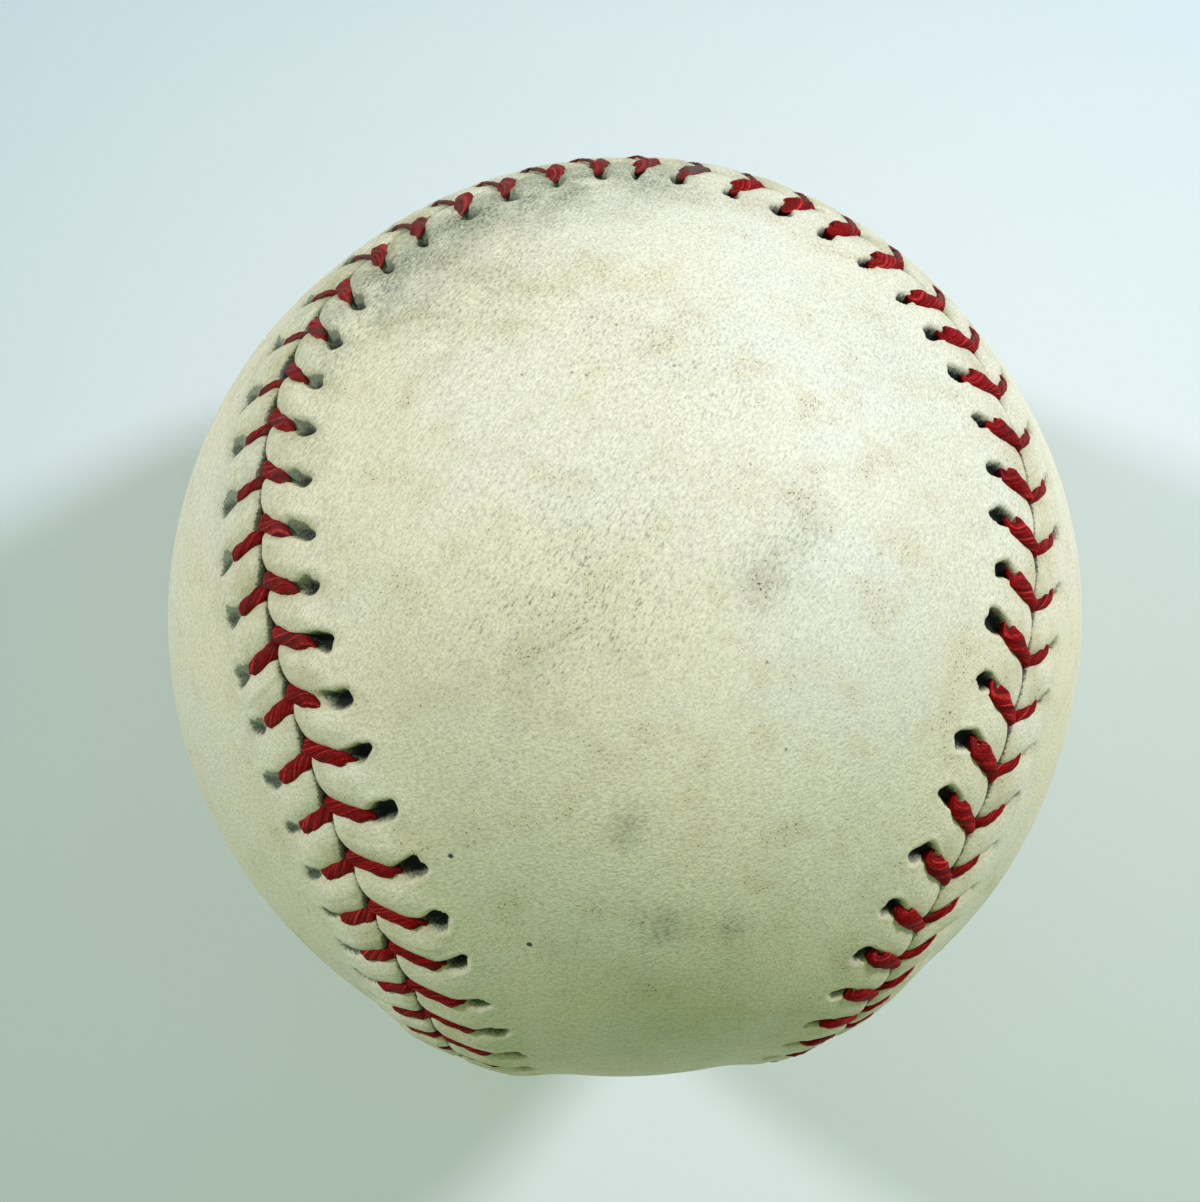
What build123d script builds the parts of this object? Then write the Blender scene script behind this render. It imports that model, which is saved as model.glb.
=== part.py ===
"""Baseball: cork and rubber pill, four yarn windings, two leather panels and a sewn seam.

The origin is the ball's centre and +Z is up. The two leather panels are alike: the first has its
narrow waist at -Y and its round lobes at +Z and -Z, and the second has its waist at +Y and its lobes
at +X and -X. The seam between them is one closed curve. All sizes are in millimetres.
"""

import os
from math import cos, pi, radians, sin

from build123d import *

# Pill: cork core, two black rubber half shells with a gasket between them, red rubber jacket
cork_diameter = 20.6
black_shell_wall = 3.85
gasket_thickness = 0.8
red_jacket_wall = 2.2

# Yarn windings, from the pill outwards
first_wool_wall = 14.5
second_wool_wall = 1.65
third_wool_wall = 2.1
cotton_wall = 0.4

# Room left between one round layer and the next
layer_gap = 0.15

# Leather: its wall on the ball, and its thinner raised edge along the seam
cover_wall = 1.2
lip_wall = 0.8
lip_edge_width = 0.6
lip_edge_drop = 0.35
lip_crown_width = 1.6
lip_shoulder_drop = 0.2
lip_slope_width = 2.8

# Seam curve: width of a panel's waist along the surface, and how far its lobes swell
waist_width = 23.0
lobe_swell_degrees = 26.0

# Stitches: holes to each side of the seam, and how far each stitch runs ahead of its hole
stitch_count = 108
hole_offset = 4.6
stitch_lead = 2.0
dive_stagger = 1.35
tail_share = 0.4

# Thread
thread_diameter = 0.8
thread_clearance = 0.1
thread_bend = 0.6
thread_saddle_bend = 2.0

# How finely the seam is drawn
seam_points = 96
ring_spans = 12
span_points = 8

# Radii of the round layers
cork_radius = cork_diameter / 2
black_inner = cork_radius + layer_gap
black_outer = black_inner + black_shell_wall
red_inner = black_outer + layer_gap
red_outer = red_inner + red_jacket_wall
first_inner = red_outer + layer_gap
first_outer = first_inner + first_wool_wall
second_inner = first_outer + layer_gap
second_outer = second_inner + second_wool_wall
third_inner = second_outer + layer_gap
third_outer = third_inner + third_wool_wall
cotton_inner = third_outer + layer_gap
cotton_outer = cotton_inner + cotton_wall
cover_inner = cotton_outer + layer_gap
cover_outer = cover_inner + cover_wall

# The thread's room: holes, the slit between the panels and the channel under their edges
thread_room = thread_diameter + 2 * thread_clearance
slit_half = thread_room / 2
channel_half = hole_offset + thread_room
channel_foot = channel_half + slit_half
channel_roof = cover_inner + thread_room
thread_low = cover_inner + thread_room / 2

# The raised edge over that channel
lip_top = channel_roof + lip_wall
lip_shoulder = lip_top - lip_shoulder_drop
lip_edge_half = slit_half + lip_edge_width
lip_crown_half = lip_edge_half + lip_crown_width
lip_foot = channel_half + lip_slope_width


def seam_point(turn: float) -> Vector:
    """Point of the seam on the ball's outer sphere, for a turn from 0 to 4 pi."""
    waist_angle = waist_width / 2 / cover_outer
    polar = pi / 2 - (pi / 2 - waist_angle) * cos(turn)
    around = turn / 2 + radians(lobe_swell_degrees) * sin(2 * turn)
    return cover_outer * Vector(sin(polar) * cos(around), -cos(polar), -sin(polar) * sin(around))


with BuildLine() as seam:
    Spline(*[seam_point(4 * pi * i / seam_points) for i in range(seam_points)], periodic=True)
seam_edge = seam.edges()[0]
seam_length = seam_edge.length
stitch_pitch = seam_length / stitch_count


def beside_seam(along: float, sideways: float, radius: float) -> Vector:
    """Point at a length along the seam, a width to its side and a radius from the centre.

    Widths are negative on the first panel and positive on the second.
    """
    share = along / seam_length % 1.0
    outward = seam_edge.position_at(share).normalized()
    side = outward.cross(seam_edge.tangent_at(share)).normalized()
    angle = sideways / cover_outer
    return radius * (outward * cos(angle) + side * sin(angle))


def seam_rail(sideways: float, radius: float) -> list[Edge]:
    """Closed curve that follows the seam at a width and a radius, as a row of spans."""
    steps = ring_spans * span_points
    points = [beside_seam(seam_length * i / steps, sideways, radius) for i in range(steps + 1)]
    around = points[-2:-1] + points + points[1:2]
    headings = [(around[i + 2] - around[i]).normalized() for i in range(steps + 1)]
    rail = []
    for first in range(0, steps, span_points):
        last = first + span_points
        with BuildLine() as span:
            Spline(*points[first : last + 1], tangents=(headings[first], headings[last]))
        rail.append(span.edges()[0])
    return rail


def panel_skin(side: int, frame: Plane) -> Solid:
    """Leather panel with its raised edge: two round skins joined by strips along the seam.

    The frame's Z axis runs through the panel's lobes and its X axis through the waist.
    """
    profile = [
        (lip_foot, cover_outer),
        (channel_half, lip_shoulder),
        (lip_crown_half, lip_top),
        (lip_edge_half, lip_top),
        (slit_half, lip_top - lip_edge_drop),
        (slit_half, channel_roof),
        (channel_half / 2, channel_roof),
        (channel_half, channel_roof),
        (channel_foot, cover_inner),
    ]
    rails = [seam_rail(side * width, radius) for width, radius in profile]
    strips = []
    for rail, next_rail in zip(rails, rails[1:]):
        strips += [Face.make_surface_from_curves(*pair) for pair in zip(rail, next_rail)]
    outside = (frame.location * Solid.make_sphere(cover_outer)).face().make_holes([Wire(rails[0])])
    inside = (frame.location * Solid.make_sphere(cover_inner)).face().make_holes([Wire(rails[-1])])
    return Solid(Shell([outside, inside, *strips]))


def hole_station(index: int) -> float:
    """Length along the seam of one pair of stitch holes."""
    return stitch_pitch * (index + 0.5)


def hole_places(side: int) -> list[Plane]:
    """Middles of one panel's stitch holes, each facing outwards."""
    middle = channel_roof + lip_wall / 2
    points = [beside_seam(hole_station(i), side * hole_offset, middle) for i in range(stitch_count)]
    return [Plane(point, z_dir=point) for point in points]


def tube(points: list[Vector], bends: list[float]) -> Part:
    """Thread laid along points, with one bend radius for each corner."""
    with BuildPart() as length:
        with BuildLine() as route:
            FilletPolyline(*points, radius=bends)
        with BuildSketch(Plane(route.line @ 0, z_dir=route.line % 0)):
            Circle(thread_diameter / 2)
        sweep()
    return length.part


# Heights at which the thread rides over the leather and changes from one stitch to the next
thread_ride = thread_clearance + thread_diameter / 2
hole_top = lip_shoulder + thread_ride
saddle_half = hole_offset / 2
hole_middle = (thread_low + hole_top) / 2


def stitch(index: int, side: int) -> Part:
    """One stitch: up through its hole, over the raised edge, down the slit and under the other panel."""
    start = hole_station(index)
    dive = start + stitch_lead - (dive_stagger if side > 0 else 0.0)
    finish = start + stitch_pitch
    points = [
        beside_seam(start, side * hole_offset, hole_middle),
        beside_seam(start, side * hole_offset, hole_top),
        beside_seam((start + dive) / 2, side * saddle_half, lip_top + thread_ride),
        beside_seam(dive, 0, lip_top + thread_ride),
        beside_seam(dive, 0, thread_low),
    ]
    bends = [thread_bend, thread_saddle_bend, thread_bend, thread_bend]
    landing = beside_seam(finish, -side * hole_offset, thread_low)
    if index == stitch_count - 1:
        return tube(points + [points[-1] + (landing - points[-1]) * tail_share], bends)
    rise = beside_seam(finish, -side * hole_offset, hole_middle)
    return tube(points + [landing, rise], bends + [thread_bend])


def first_link() -> Part:
    """The thread's middle, which lies under both panels between the first pair of holes."""
    start = hole_station(0)
    points = [
        beside_seam(start, -hole_offset, hole_middle),
        beside_seam(start, -hole_offset, thread_low),
        beside_seam(start, hole_offset, thread_low),
        beside_seam(start, hole_offset, hole_middle),
    ]
    return tube(points, [thread_bend, thread_bend])


# Pill
with BuildPart() as cork_core:
    Sphere(cork_radius)

with BuildPart() as black_half_shell_upper:
    Sphere(black_outer)
    Sphere(black_inner, mode=Mode.SUBTRACT)
    split(bisect_by=Plane.XY.offset(gasket_thickness / 2), keep=Keep.TOP)

with BuildPart() as black_half_shell_lower:
    add(mirror(black_half_shell_upper.part, about=Plane.XY, mode=Mode.PRIVATE))

with BuildPart() as sealing_gasket:
    Sphere(black_outer)
    Sphere(black_inner, mode=Mode.SUBTRACT)
    split(bisect_by=Plane.XY.offset(gasket_thickness / 2), keep=Keep.BOTTOM)
    split(bisect_by=Plane.XY.offset(-gasket_thickness / 2), keep=Keep.TOP)

with BuildPart() as red_rubber_jacket:
    Sphere(red_outer)
    Sphere(red_inner, mode=Mode.SUBTRACT)

# Windings
with BuildPart() as first_wool_winding:
    Sphere(first_outer)
    Sphere(first_inner, mode=Mode.SUBTRACT)

with BuildPart() as second_wool_winding:
    Sphere(second_outer)
    Sphere(second_inner, mode=Mode.SUBTRACT)

with BuildPart() as third_wool_winding:
    Sphere(third_outer)
    Sphere(third_inner, mode=Mode.SUBTRACT)

with BuildPart() as cotton_finish_winding:
    Sphere(cotton_outer)
    Sphere(cotton_inner, mode=Mode.SUBTRACT)

# Cover
with BuildPart() as cover_panel_first:
    add(panel_skin(-1, Plane((0, 0, 0), x_dir=(0, -1, 0), z_dir=(0, 0, 1))))
    with Locations(*hole_places(-1)):
        Cylinder(thread_room / 2, lip_wall + thread_room, mode=Mode.SUBTRACT)

with BuildPart() as cover_panel_second:
    add(panel_skin(1, Plane((0, 0, 0), x_dir=(0, 1, 0), z_dir=(1, 0, 0))))
    with Locations(*hole_places(1)):
        Cylinder(thread_room / 2, lip_wall + thread_room, mode=Mode.SUBTRACT)

# Thread: both ends sew at once, changing panels at every stitch
stitches = [first_link()]
for stitch_index in range(stitch_count):
    stitches.append(stitch(stitch_index, -1 if stitch_index % 2 == 0 else 1))
    stitches.append(stitch(stitch_index, 1 if stitch_index % 2 == 0 else -1))

with BuildPart() as seam_thread:
    add(stitches)

# Pieces
pieces = {
    "cork_core": cork_core,
    "black_half_shell_upper": black_half_shell_upper,
    "black_half_shell_lower": black_half_shell_lower,
    "sealing_gasket": sealing_gasket,
    "red_rubber_jacket": red_rubber_jacket,
    "first_wool_winding": first_wool_winding,
    "second_wool_winding": second_wool_winding,
    "third_wool_winding": third_wool_winding,
    "cotton_finish_winding": cotton_finish_winding,
    "cover_panel_first": cover_panel_first,
    "cover_panel_second": cover_panel_second,
    "seam_thread": seam_thread,
}
os.makedirs("parts", exist_ok=True)
for name, piece in pieces.items():
    piece.part.label = name
    export_step(piece.part, f"parts/{name}.step")
print(f"seam {seam_length:.1f} mm, stitch pitch {stitch_pitch:.2f} mm")
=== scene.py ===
"""Looks of the baseball: sewn leather cover, red thread, yarn windings, rubber and cork pill.

Sizes are in millimetres and become metres when a mesh is made. The origin is the ball's centre, +Z is up,
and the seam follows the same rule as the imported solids.
"""

import logging
from dataclasses import dataclass, field
from enum import Enum
from math import cos, pi, radians, sin
from typing import ClassVar

import bpy
import numpy as np
from mathutils import Matrix, Vector


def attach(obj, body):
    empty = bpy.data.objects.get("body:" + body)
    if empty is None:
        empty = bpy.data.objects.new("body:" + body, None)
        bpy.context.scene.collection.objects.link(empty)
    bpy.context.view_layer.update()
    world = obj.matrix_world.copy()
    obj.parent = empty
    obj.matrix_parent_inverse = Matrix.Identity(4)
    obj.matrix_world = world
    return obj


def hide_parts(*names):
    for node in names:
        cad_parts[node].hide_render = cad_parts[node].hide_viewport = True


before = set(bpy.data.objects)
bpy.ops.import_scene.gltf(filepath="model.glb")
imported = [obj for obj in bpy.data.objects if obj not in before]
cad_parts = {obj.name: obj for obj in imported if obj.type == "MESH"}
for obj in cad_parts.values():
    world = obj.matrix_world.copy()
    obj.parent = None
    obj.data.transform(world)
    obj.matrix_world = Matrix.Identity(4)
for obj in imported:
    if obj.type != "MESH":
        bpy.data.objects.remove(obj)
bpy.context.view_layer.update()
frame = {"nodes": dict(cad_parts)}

log = logging.getLogger("baseball")

MM = 0.001
BODY = "root"
NOISE_ROUGHNESS = 0.55
NOISE_MIDDLE = 0.5

Pair = tuple[float, float]
Triple = tuple[float, float, float]
Colour = tuple[float, float, float, float]
Knots = tuple[Pair, ...]
SideKnots = tuple[Knots, Knots]


class Side(Enum):
    """Which leather panel lies on which side of the seam."""

    FIRST = -1
    SECOND = 1


def srgb(red: int, green: int, blue: int) -> Colour:
    """Colour as seen on a screen, as the linear values that Blender takes.

    Args:
        red, green, blue: The colour's parts, from 0 to 255.

    Returns:
        Linear red, green, blue and an alpha of 1.
    """
    parts = [part / 255 for part in (red, green, blue)]
    linear = [p / 12.92 if p <= 0.04045 else ((p + 0.055) / 1.055) ** 2.4 for p in parts]
    return (*linear, 1.0)


def smooth_step(values: np.ndarray, low: float | np.ndarray, high: float | np.ndarray) -> np.ndarray:
    """Smooth rise from 0 at low to 1 at high.

    Args:
        values: Values to test.
        low: Where the rise starts.
        high: Where it ends.

    Returns:
        Shares from 0 to 1.
    """
    share = np.clip((values - low) / (high - low), 0.0, 1.0)
    return share * share * (3 - 2 * share)


def keep_numbers(mesh: bpy.types.Mesh, name: str, values: np.ndarray) -> None:
    """Keeps a number at each point of a mesh."""
    kept = mesh.attributes.new(name, "FLOAT", "POINT")
    kept.data.foreach_set("value", values.astype(np.float32))


def linked(name: str, data: bpy.types.ID) -> bpy.types.Object:
    """A new object with this name and data, in the scene."""
    made = bpy.data.objects.new(name, data)
    bpy.context.scene.collection.objects.link(made)
    return made


# Node graphs


class Out:
    """A node's output that can be used in sums and products."""

    def __init__(self, graph: "Graph", socket: bpy.types.NodeSocket) -> None:
        """Keeps the socket and the graph that it belongs to."""
        self.graph = graph
        self.socket = socket

    def other(self, name: str) -> "Out":
        """Another output of the same node."""
        return Out(self.graph, self.graph.find(self.socket.node.outputs, name))

    def maths(self, operation: str, first: object, second: object = 0.0) -> "Out":
        """One Math node of this operation."""
        return self.graph.node("ShaderNodeMath", {"operation": operation}, {0: first, 1: second})

    def __add__(self, value: object) -> "Out":
        """Sum."""
        return self.maths("ADD", self, value)

    def __radd__(self, value: object) -> "Out":
        """Sum with a number first."""
        return self.maths("ADD", value, self)

    def __sub__(self, value: object) -> "Out":
        """Difference."""
        return self.maths("SUBTRACT", self, value)

    def __rsub__(self, value: object) -> "Out":
        """Difference from a number."""
        return self.maths("SUBTRACT", value, self)

    def __mul__(self, value: object) -> "Out":
        """Product."""
        return self.maths("MULTIPLY", self, value)

    def __rmul__(self, value: object) -> "Out":
        """Product with a number first."""
        return self.maths("MULTIPLY", value, self)

    def __truediv__(self, value: object) -> "Out":
        """Quotient."""
        return self.maths("DIVIDE", self, value)

    def __pow__(self, value: object) -> "Out":
        """Power."""
        return self.maths("POWER", self, value)

    def sine(self) -> "Out":
        """Sine of an angle in radians."""
        return self.maths("SINE", self)

    def most(self, value: object) -> "Out":
        """The larger of two values."""
        return self.maths("MAXIMUM", self, value)

    def rise(self, low: float, high: float) -> "Out":
        """Smooth rise from 0 at low to 1 at high, and a fall where low is above high."""
        return self.graph.node(
            "ShaderNodeMapRange",
            {"interpolation_type": "SMOOTHSTEP"},
            {"Value": self, "From Min": low, "From Max": high, "To Min": 0.0, "To Max": 1.0},
        )


class Graph:
    """A node tree that is being written."""

    def __init__(self, tree: bpy.types.NodeTree) -> None:
        """Keeps the tree."""
        self.tree = tree

    @staticmethod
    def find(sockets: bpy.types.bpy_prop_collection, key: str | int) -> bpy.types.NodeSocket:
        """Socket with this place, identifier or name.

        Args:
            sockets: A node's inputs or outputs.
            key: Place in the row, identifier, or name of the first enabled socket.

        Returns:
            The socket.
        """
        if isinstance(key, int):
            return sockets[key]
        for socket in sockets:
            if socket.identifier == key:
                return socket
        return next(socket for socket in sockets if socket.name == key and socket.enabled)

    def node(self, kind: str, settings: dict | None = None, sockets: dict | None = None) -> Out:
        """Adds a node, sets it, and then gives its sockets their values or links.

        Args:
            kind: The node's type name.
            settings: Properties of the node, set first.
            sockets: Values or links by socket name, identifier or place.

        Returns:
            The node's first enabled output.
        """
        made = self.tree.nodes.new(kind)
        for name, value in (settings or {}).items():
            setattr(made, name, value)
        for key, value in (sockets or {}).items():
            socket = self.find(made.inputs, key)
            if isinstance(value, Out):
                self.tree.links.new(value.socket, socket)
            else:
                socket.default_value = value
        outputs = [socket for socket in made.outputs if socket.enabled]
        return Out(self, outputs[0]) if outputs else Out(self, None)


class Paint(Graph):
    """A material's graph, with the few patterns that the finishes share."""

    def __init__(self, name: str) -> None:
        """Starts an empty material of this name."""
        self.material = bpy.data.materials.new(name)
        self.material.use_nodes = True
        super().__init__(self.material.node_tree)
        self.tree.nodes.clear()
        self.place = self.node("ShaderNodeTexCoord").other("Object")

    def attribute(self, name: str) -> Out:
        """A number that the mesh holds at each point."""
        return self.node("ShaderNodeAttribute", {"attribute_name": name}).other("Fac")

    def noise(self, size: float, detail: float, place: Out | None = None) -> Out:
        """Cloudy noise.

        Args:
            size: Width of its clouds in millimetres.
            detail: Octaves of finer noise.
            place: Where to read it, the piece's own coordinates if left out.

        Returns:
            Values about 0.5.
        """
        sockets = {"Vector": place or self.place, "Scale": 1 / (size * MM)}
        sockets.update({"Detail": detail, "Roughness": NOISE_ROUGHNESS})
        return self.node("ShaderNodeTexNoise", {}, sockets)

    def cells(self, size: float, feature: str = "F1") -> Out:
        """Distance within round cells, of a width in millimetres."""
        sockets = {"Vector": self.place, "Scale": 1 / (size * MM)}
        return self.node("ShaderNodeTexVoronoi", {"feature": feature}, sockets)

    def stretched(self, turn: Triple, scale: Triple) -> Out:
        """The piece's own coordinates, turned by degrees and then scaled."""
        rotation = tuple(radians(angle) for angle in turn)
        turned = self.node("ShaderNodeMapping", {}, {"Vector": self.place, "Rotation": rotation})
        return self.node("ShaderNodeMapping", {}, {"Vector": turned, "Scale": scale})

    def blend(self, share: object, first: object, second: object, kind: str = "MIX") -> Out:
        """Colour between two colours.

        Args:
            share: 0 gives the first colour, 1 the second.
            first, second: Colours or links.
            kind: Blender's name for the way they mix.

        Returns:
            The mixed colour.
        """
        settings = {"data_type": "RGBA", "blend_type": kind, "clamp_factor": True}
        sockets = {"Factor_Float": share, "A_Color": first, "B_Color": second}
        return self.node("ShaderNodeMix", settings, sockets).other("Result_Color")

    def near(self, centre: Triple, reach: float) -> Out:
        """Soft spot round a place on the piece, 1 at its centre and 0 at its reach in millimetres."""
        middle = tuple(part * MM for part in centre)
        gap = self.node("ShaderNodeVectorMath", {"operation": "DISTANCE"}, {0: self.place, 1: middle})
        return gap.other("Value").rise(reach * MM, 0.0)

    def finish(self, colour: Out, rough: Out, height: Out, depth: float, **constants: float) -> None:
        """Principled shader from the varying parts and the constant ones.

        Args:
            colour: Base colour.
            rough: Roughness.
            height: Heights for the bump, from 0 to 1.
            depth: Height of the bump in millimetres.
            constants: Values for the shader's other sockets, with _ for a space.
        """
        bump = self.node("ShaderNodeBump", {}, {"Height": height, "Distance": depth * MM, "Strength": 1.0})
        sockets = {"Base Color": colour, "Roughness": rough, "Normal": bump}
        sockets.update({name.replace("_", " "): value for name, value in constants.items()})
        shader = self.node("ShaderNodeBsdfPrincipled", {}, sockets)
        self.node("ShaderNodeOutputMaterial", {}, {"Surface": shader})


# Finishes


@dataclass(frozen=True)
class Smudge:
    """A rubbed or dirty place on the leather."""

    centre: Triple
    reach: float
    strength: float
    pores: float


@dataclass(frozen=True)
class Ramp:
    """A smooth rise between two values of a pattern, up to a largest share."""

    low: float
    high: float
    share: float = 1.0

    def of(self, pattern: Out) -> Out:
        """The share at each place of the pattern."""
        return pattern.rise(self.low, self.high) * self.share


@dataclass(frozen=True)
class StainAndShade:
    """Colour that shows where one of the panel's marks, frayed by the grain, is strong: the raw edge and
    dirt round the stitch holes, and painted shade in the holes' cores and in the seam's gap.
    """

    mark: str
    gain: float
    fray: float
    ramp: Ramp

    def share(self, paint: Paint, fray: Out) -> Out:
        """Share of its colour at each place."""
        return self.ramp.of(paint.attribute(self.mark) * self.gain + fray * self.fray)


@dataclass(frozen=True)
class CoverLeather:
    """Tanned cream cowhide, rubbed and handled."""

    cream: Colour = srgb(229, 219, 181)
    pale: Colour = srgb(227, 223, 200)
    warm: Colour = srgb(221, 204, 156)
    olive: Colour = srgb(188, 176, 122)
    grime: Colour = srgb(98, 108, 88)
    pore: Colour = srgb(70, 72, 52)
    raw_edge: Colour = srgb(142, 148, 122)
    moss: Colour = srgb(58, 70, 50)
    black: Colour = srgb(8, 12, 9)
    cloud_size: float = 14.0
    cloud_ramp: Ramp = Ramp(0.40, 0.66, 0.4)
    patch_size: float = 3.6
    warm_ramp: Ramp = Ramp(0.46, 0.74, 0.40)
    grain_size: float = 0.18
    grain_depth: float = 0.06
    fleck_ramp: Ramp = Ramp(0.28, 0.72, 0.55)
    dash_ramp: Ramp = Ramp(0.72, 0.28, 0.45)
    tone_swing: float = 0.46
    tone_low: float = 0.77
    fleck_height: float = 0.6
    dash_height: float = 0.4
    streak_turn: float = -60.0
    streak_scale: Triple = (0.42, 1.0, 0.8)
    crease_turn: float = -14.0
    crease_scale: Triple = (0.45, 1.0, 0.8)
    crease_fade: Pair = (4.0, -9.0)
    dirt_ramp: Ramp = Ramp(0.12, 0.66)
    dirt_dashes: float = 0.9
    dirt_low: float = 0.05
    pore_ramp: Ramp = Ramp(0.60, 0.76, 0.36)
    pore_low: float = 0.22
    lip_ramp: Ramp = Ramp(0.36, 0.62, 0.36)
    valley_share: float = 0.45
    fleck_fray: float = 1.1
    patch_fray: float = 0.5
    torn_ramp: Ramp = Ramp(0.40, 0.70, 0.45)
    torn_hole: StainAndShade = StainAndShade("hole", 1.2, 1.0, Ramp(0.24, 0.66, 0.94))
    # Painted shade in the seam's gap (groove), where grime also sits, and in the stitch holes' cores: moss
    # first, then black where the mark is strongest.
    shade_and_grime: tuple[tuple[StainAndShade, Colour], ...] = (
        (StainAndShade("groove", 1.0, 1.0, Ramp(0.22, 0.62, 0.9)), moss),
        (StainAndShade("core", 1.6, 1.0, Ramp(0.05, 0.65, 0.75)), moss),
        (StainAndShade("core", 1.3, 1.0, Ramp(0.48, 0.95, 0.96)), black),
        (StainAndShade("groove", 1.0, 0.5, Ramp(0.66, 0.98)), black),
    )
    smudges: tuple[Smudge, ...] = (
        Smudge((-11.2, 27.6, 22.3), 12.5, 0.44, 0.7),
        Smudge((-13.4, 23.2, 25.9), 8.5, 0.20, 0.6),
        Smudge((-17.2, 27.2, 18.6), 9.0, 0.70, 0.6),
        Smudge((-20.4, 23.2, 20.6), 7.0, 0.50, 0.5),
        Smudge((-9.8, 32.5, 15.4), 9.0, 0.70, 0.5),
        Smudge((-2.5, 34.2, 14.4), 12.0, 1.0, 0.4),
        Smudge((5.3, 33.6, 15.1), 9.0, 0.35, 0.3),
        Smudge((-3.9, 22.3, 29.6), 6.0, 0.14, 0.8),
        Smudge((-7.1, 0.2, 36.6), 10.0, 0.17, 0.8),
        Smudge((-10.9, -1.7, 35.6), 9.0, 0.14, 0.5),
        Smudge((-5.0, 5.9, 36.4), 11.0, 0.07, 1.0),
        Smudge((6.2, 5.3, 36.3), 4.0, 0.42, 0.5),
        Smudge((8.7, 8.4, 35.2), 3.6, 0.28, 0.6),
        Smudge((-2.6, -10.8, 35.6), 3.0, 0.70, 0.4),
        Smudge((-0.5, -18.1, 32.5), 3.0, 0.85, 0.5),
        Smudge((4.4, -18.6, 32.0), 2.2, 0.85, 0.5),
        Smudge((2.2, 19.4, 31.7), 8.0, 0.10, 0.9),
        # Painted shade: the next smudge dims the leather round the right lamp's highlight.
        Smudge((18.0, 20.4, 25.4), 10.0, 0.16, 0.3),
    )
    dots: tuple[Triple, ...] = ((-9.3, -19.7, 30.2), (-14.4, -13.1, 31.7))
    dot_reach: float = 0.32
    dot_ramp: Ramp = Ramp(0.1, 0.5, 0.95)
    specks: tuple[Triple, ...] = (
        (-4.1, 22.5, 29.4), (-2.5, 21.9, 30.0), (-4.9, 19.5, 31.3), (-5.6, 18.7, 31.7), (-4.7, 18.5, 32.0),
        (-8.9, 18.7, 31.0), (1.1, 19.0, 32.0), (6.2, -0.3, 36.7), (7.5, -6.1, 36.0), (-1.8, -17.9, 32.6),
    )
    speck_reach: float = 0.27
    speck_fray: float = 1.6
    speck_ramp: Ramp = Ramp(0.3, 0.9, 0.6)
    pale_place: Triple = (14.0, 19.0, 28.5)
    pale_reach: float = 36.0
    pale_share: float = 0.75
    rough_low: float = 0.50
    patch_rough: float = 0.12
    hole_rough: float = 0.3
    shine: float = 0.36

    def material(self) -> bpy.types.Material:
        """Builds the leather.

        Returns:
            The material, which reads the panel's hole, core, groove, valley, lip and soil attributes.
        """
        paint = Paint("cover_leather")
        clouds = paint.noise(self.cloud_size, detail=2.0)
        patches = paint.noise(self.patch_size, detail=3.0)
        fleck = paint.noise(self.grain_size, detail=2.0)
        streaks = paint.stretched((0, 0, self.streak_turn), self.streak_scale)
        creased = paint.stretched((0, 0, self.crease_turn), self.crease_scale)
        dashes = paint.noise(self.grain_size, detail=1.0, place=streaks)
        creases = paint.noise(self.grain_size, detail=1.0, place=creased)
        upright = paint.node("ShaderNodeSeparateXYZ", {}, {"Vector": paint.place}).other("Y")
        lower = upright.rise(*[edge * MM for edge in self.crease_fade])
        dashes = dashes + (creases - dashes) * lower
        # The leather turns paler round pale_place.
        paler_spot = paint.near(self.pale_place, self.pale_reach) * self.pale_share
        colour = paint.blend(paler_spot + self.cloud_ramp.of(clouds), self.cream, self.pale)
        colour = paint.blend(self.warm_ramp.of(patches), colour, self.warm)

        dirt = paint.attribute("soil")
        pores: Out | float = self.pore_low
        for smudge in self.smudges:
            spot = paint.near(smudge.centre, smudge.reach)
            dirt = spot * smudge.strength + dirt
            pores = spot * smudge.pores + pores
        dirt = dirt * self.dirt_ramp.of(patches) * (dashes * self.dirt_dashes + self.dirt_low)
        colour = paint.blend(dirt, colour, self.grime)
        tone = self.fleck_ramp.of(fleck) + self.dash_ramp.of(dashes)
        colour = paint.blend(1.0, colour, tone * self.tone_swing + self.tone_low, "MULTIPLY")
        colour = paint.blend(self.pore_ramp.of(dashes) * pores, colour, self.pore)

        fray = (fleck - NOISE_MIDDLE) * self.fleck_fray + (patches - NOISE_MIDDLE) * self.patch_fray
        colour = paint.blend(paint.attribute("lip") * self.lip_ramp.of(patches), colour, self.olive)
        # Painted shade: an olive tint in the creases where the stitches pull the leather down.
        colour = paint.blend(paint.attribute("valley") * self.valley_share, colour, self.olive)
        torn = paint.blend(self.torn_ramp.of(fleck), self.raw_edge, self.moss)
        colour = paint.blend(self.torn_hole.share(paint, fray), colour, torn)
        # Painted shade in the seam's gap and the holes' cores, with grime in the gap.
        for darkening, shade in self.shade_and_grime:
            colour = paint.blend(darkening.share(paint, fray), colour, shade)
        for place in self.specks:
            speck = paint.near(place, self.speck_reach) + fray * self.speck_fray
            colour = paint.blend(self.speck_ramp.of(speck), colour, self.pore)
        for place in self.dots:
            dot = paint.near(place, self.dot_reach)
            colour = paint.blend(self.dot_ramp.of(dot), colour, self.black)

        height = fleck * self.fleck_height - dashes * self.dash_height
        rough = self.rough_low + patches * self.patch_rough + paint.attribute("hole") * self.hole_rough
        paint.finish(colour, rough, height, self.grain_depth, Specular_IOR_Level=self.shine)
        return paint.material


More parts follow.
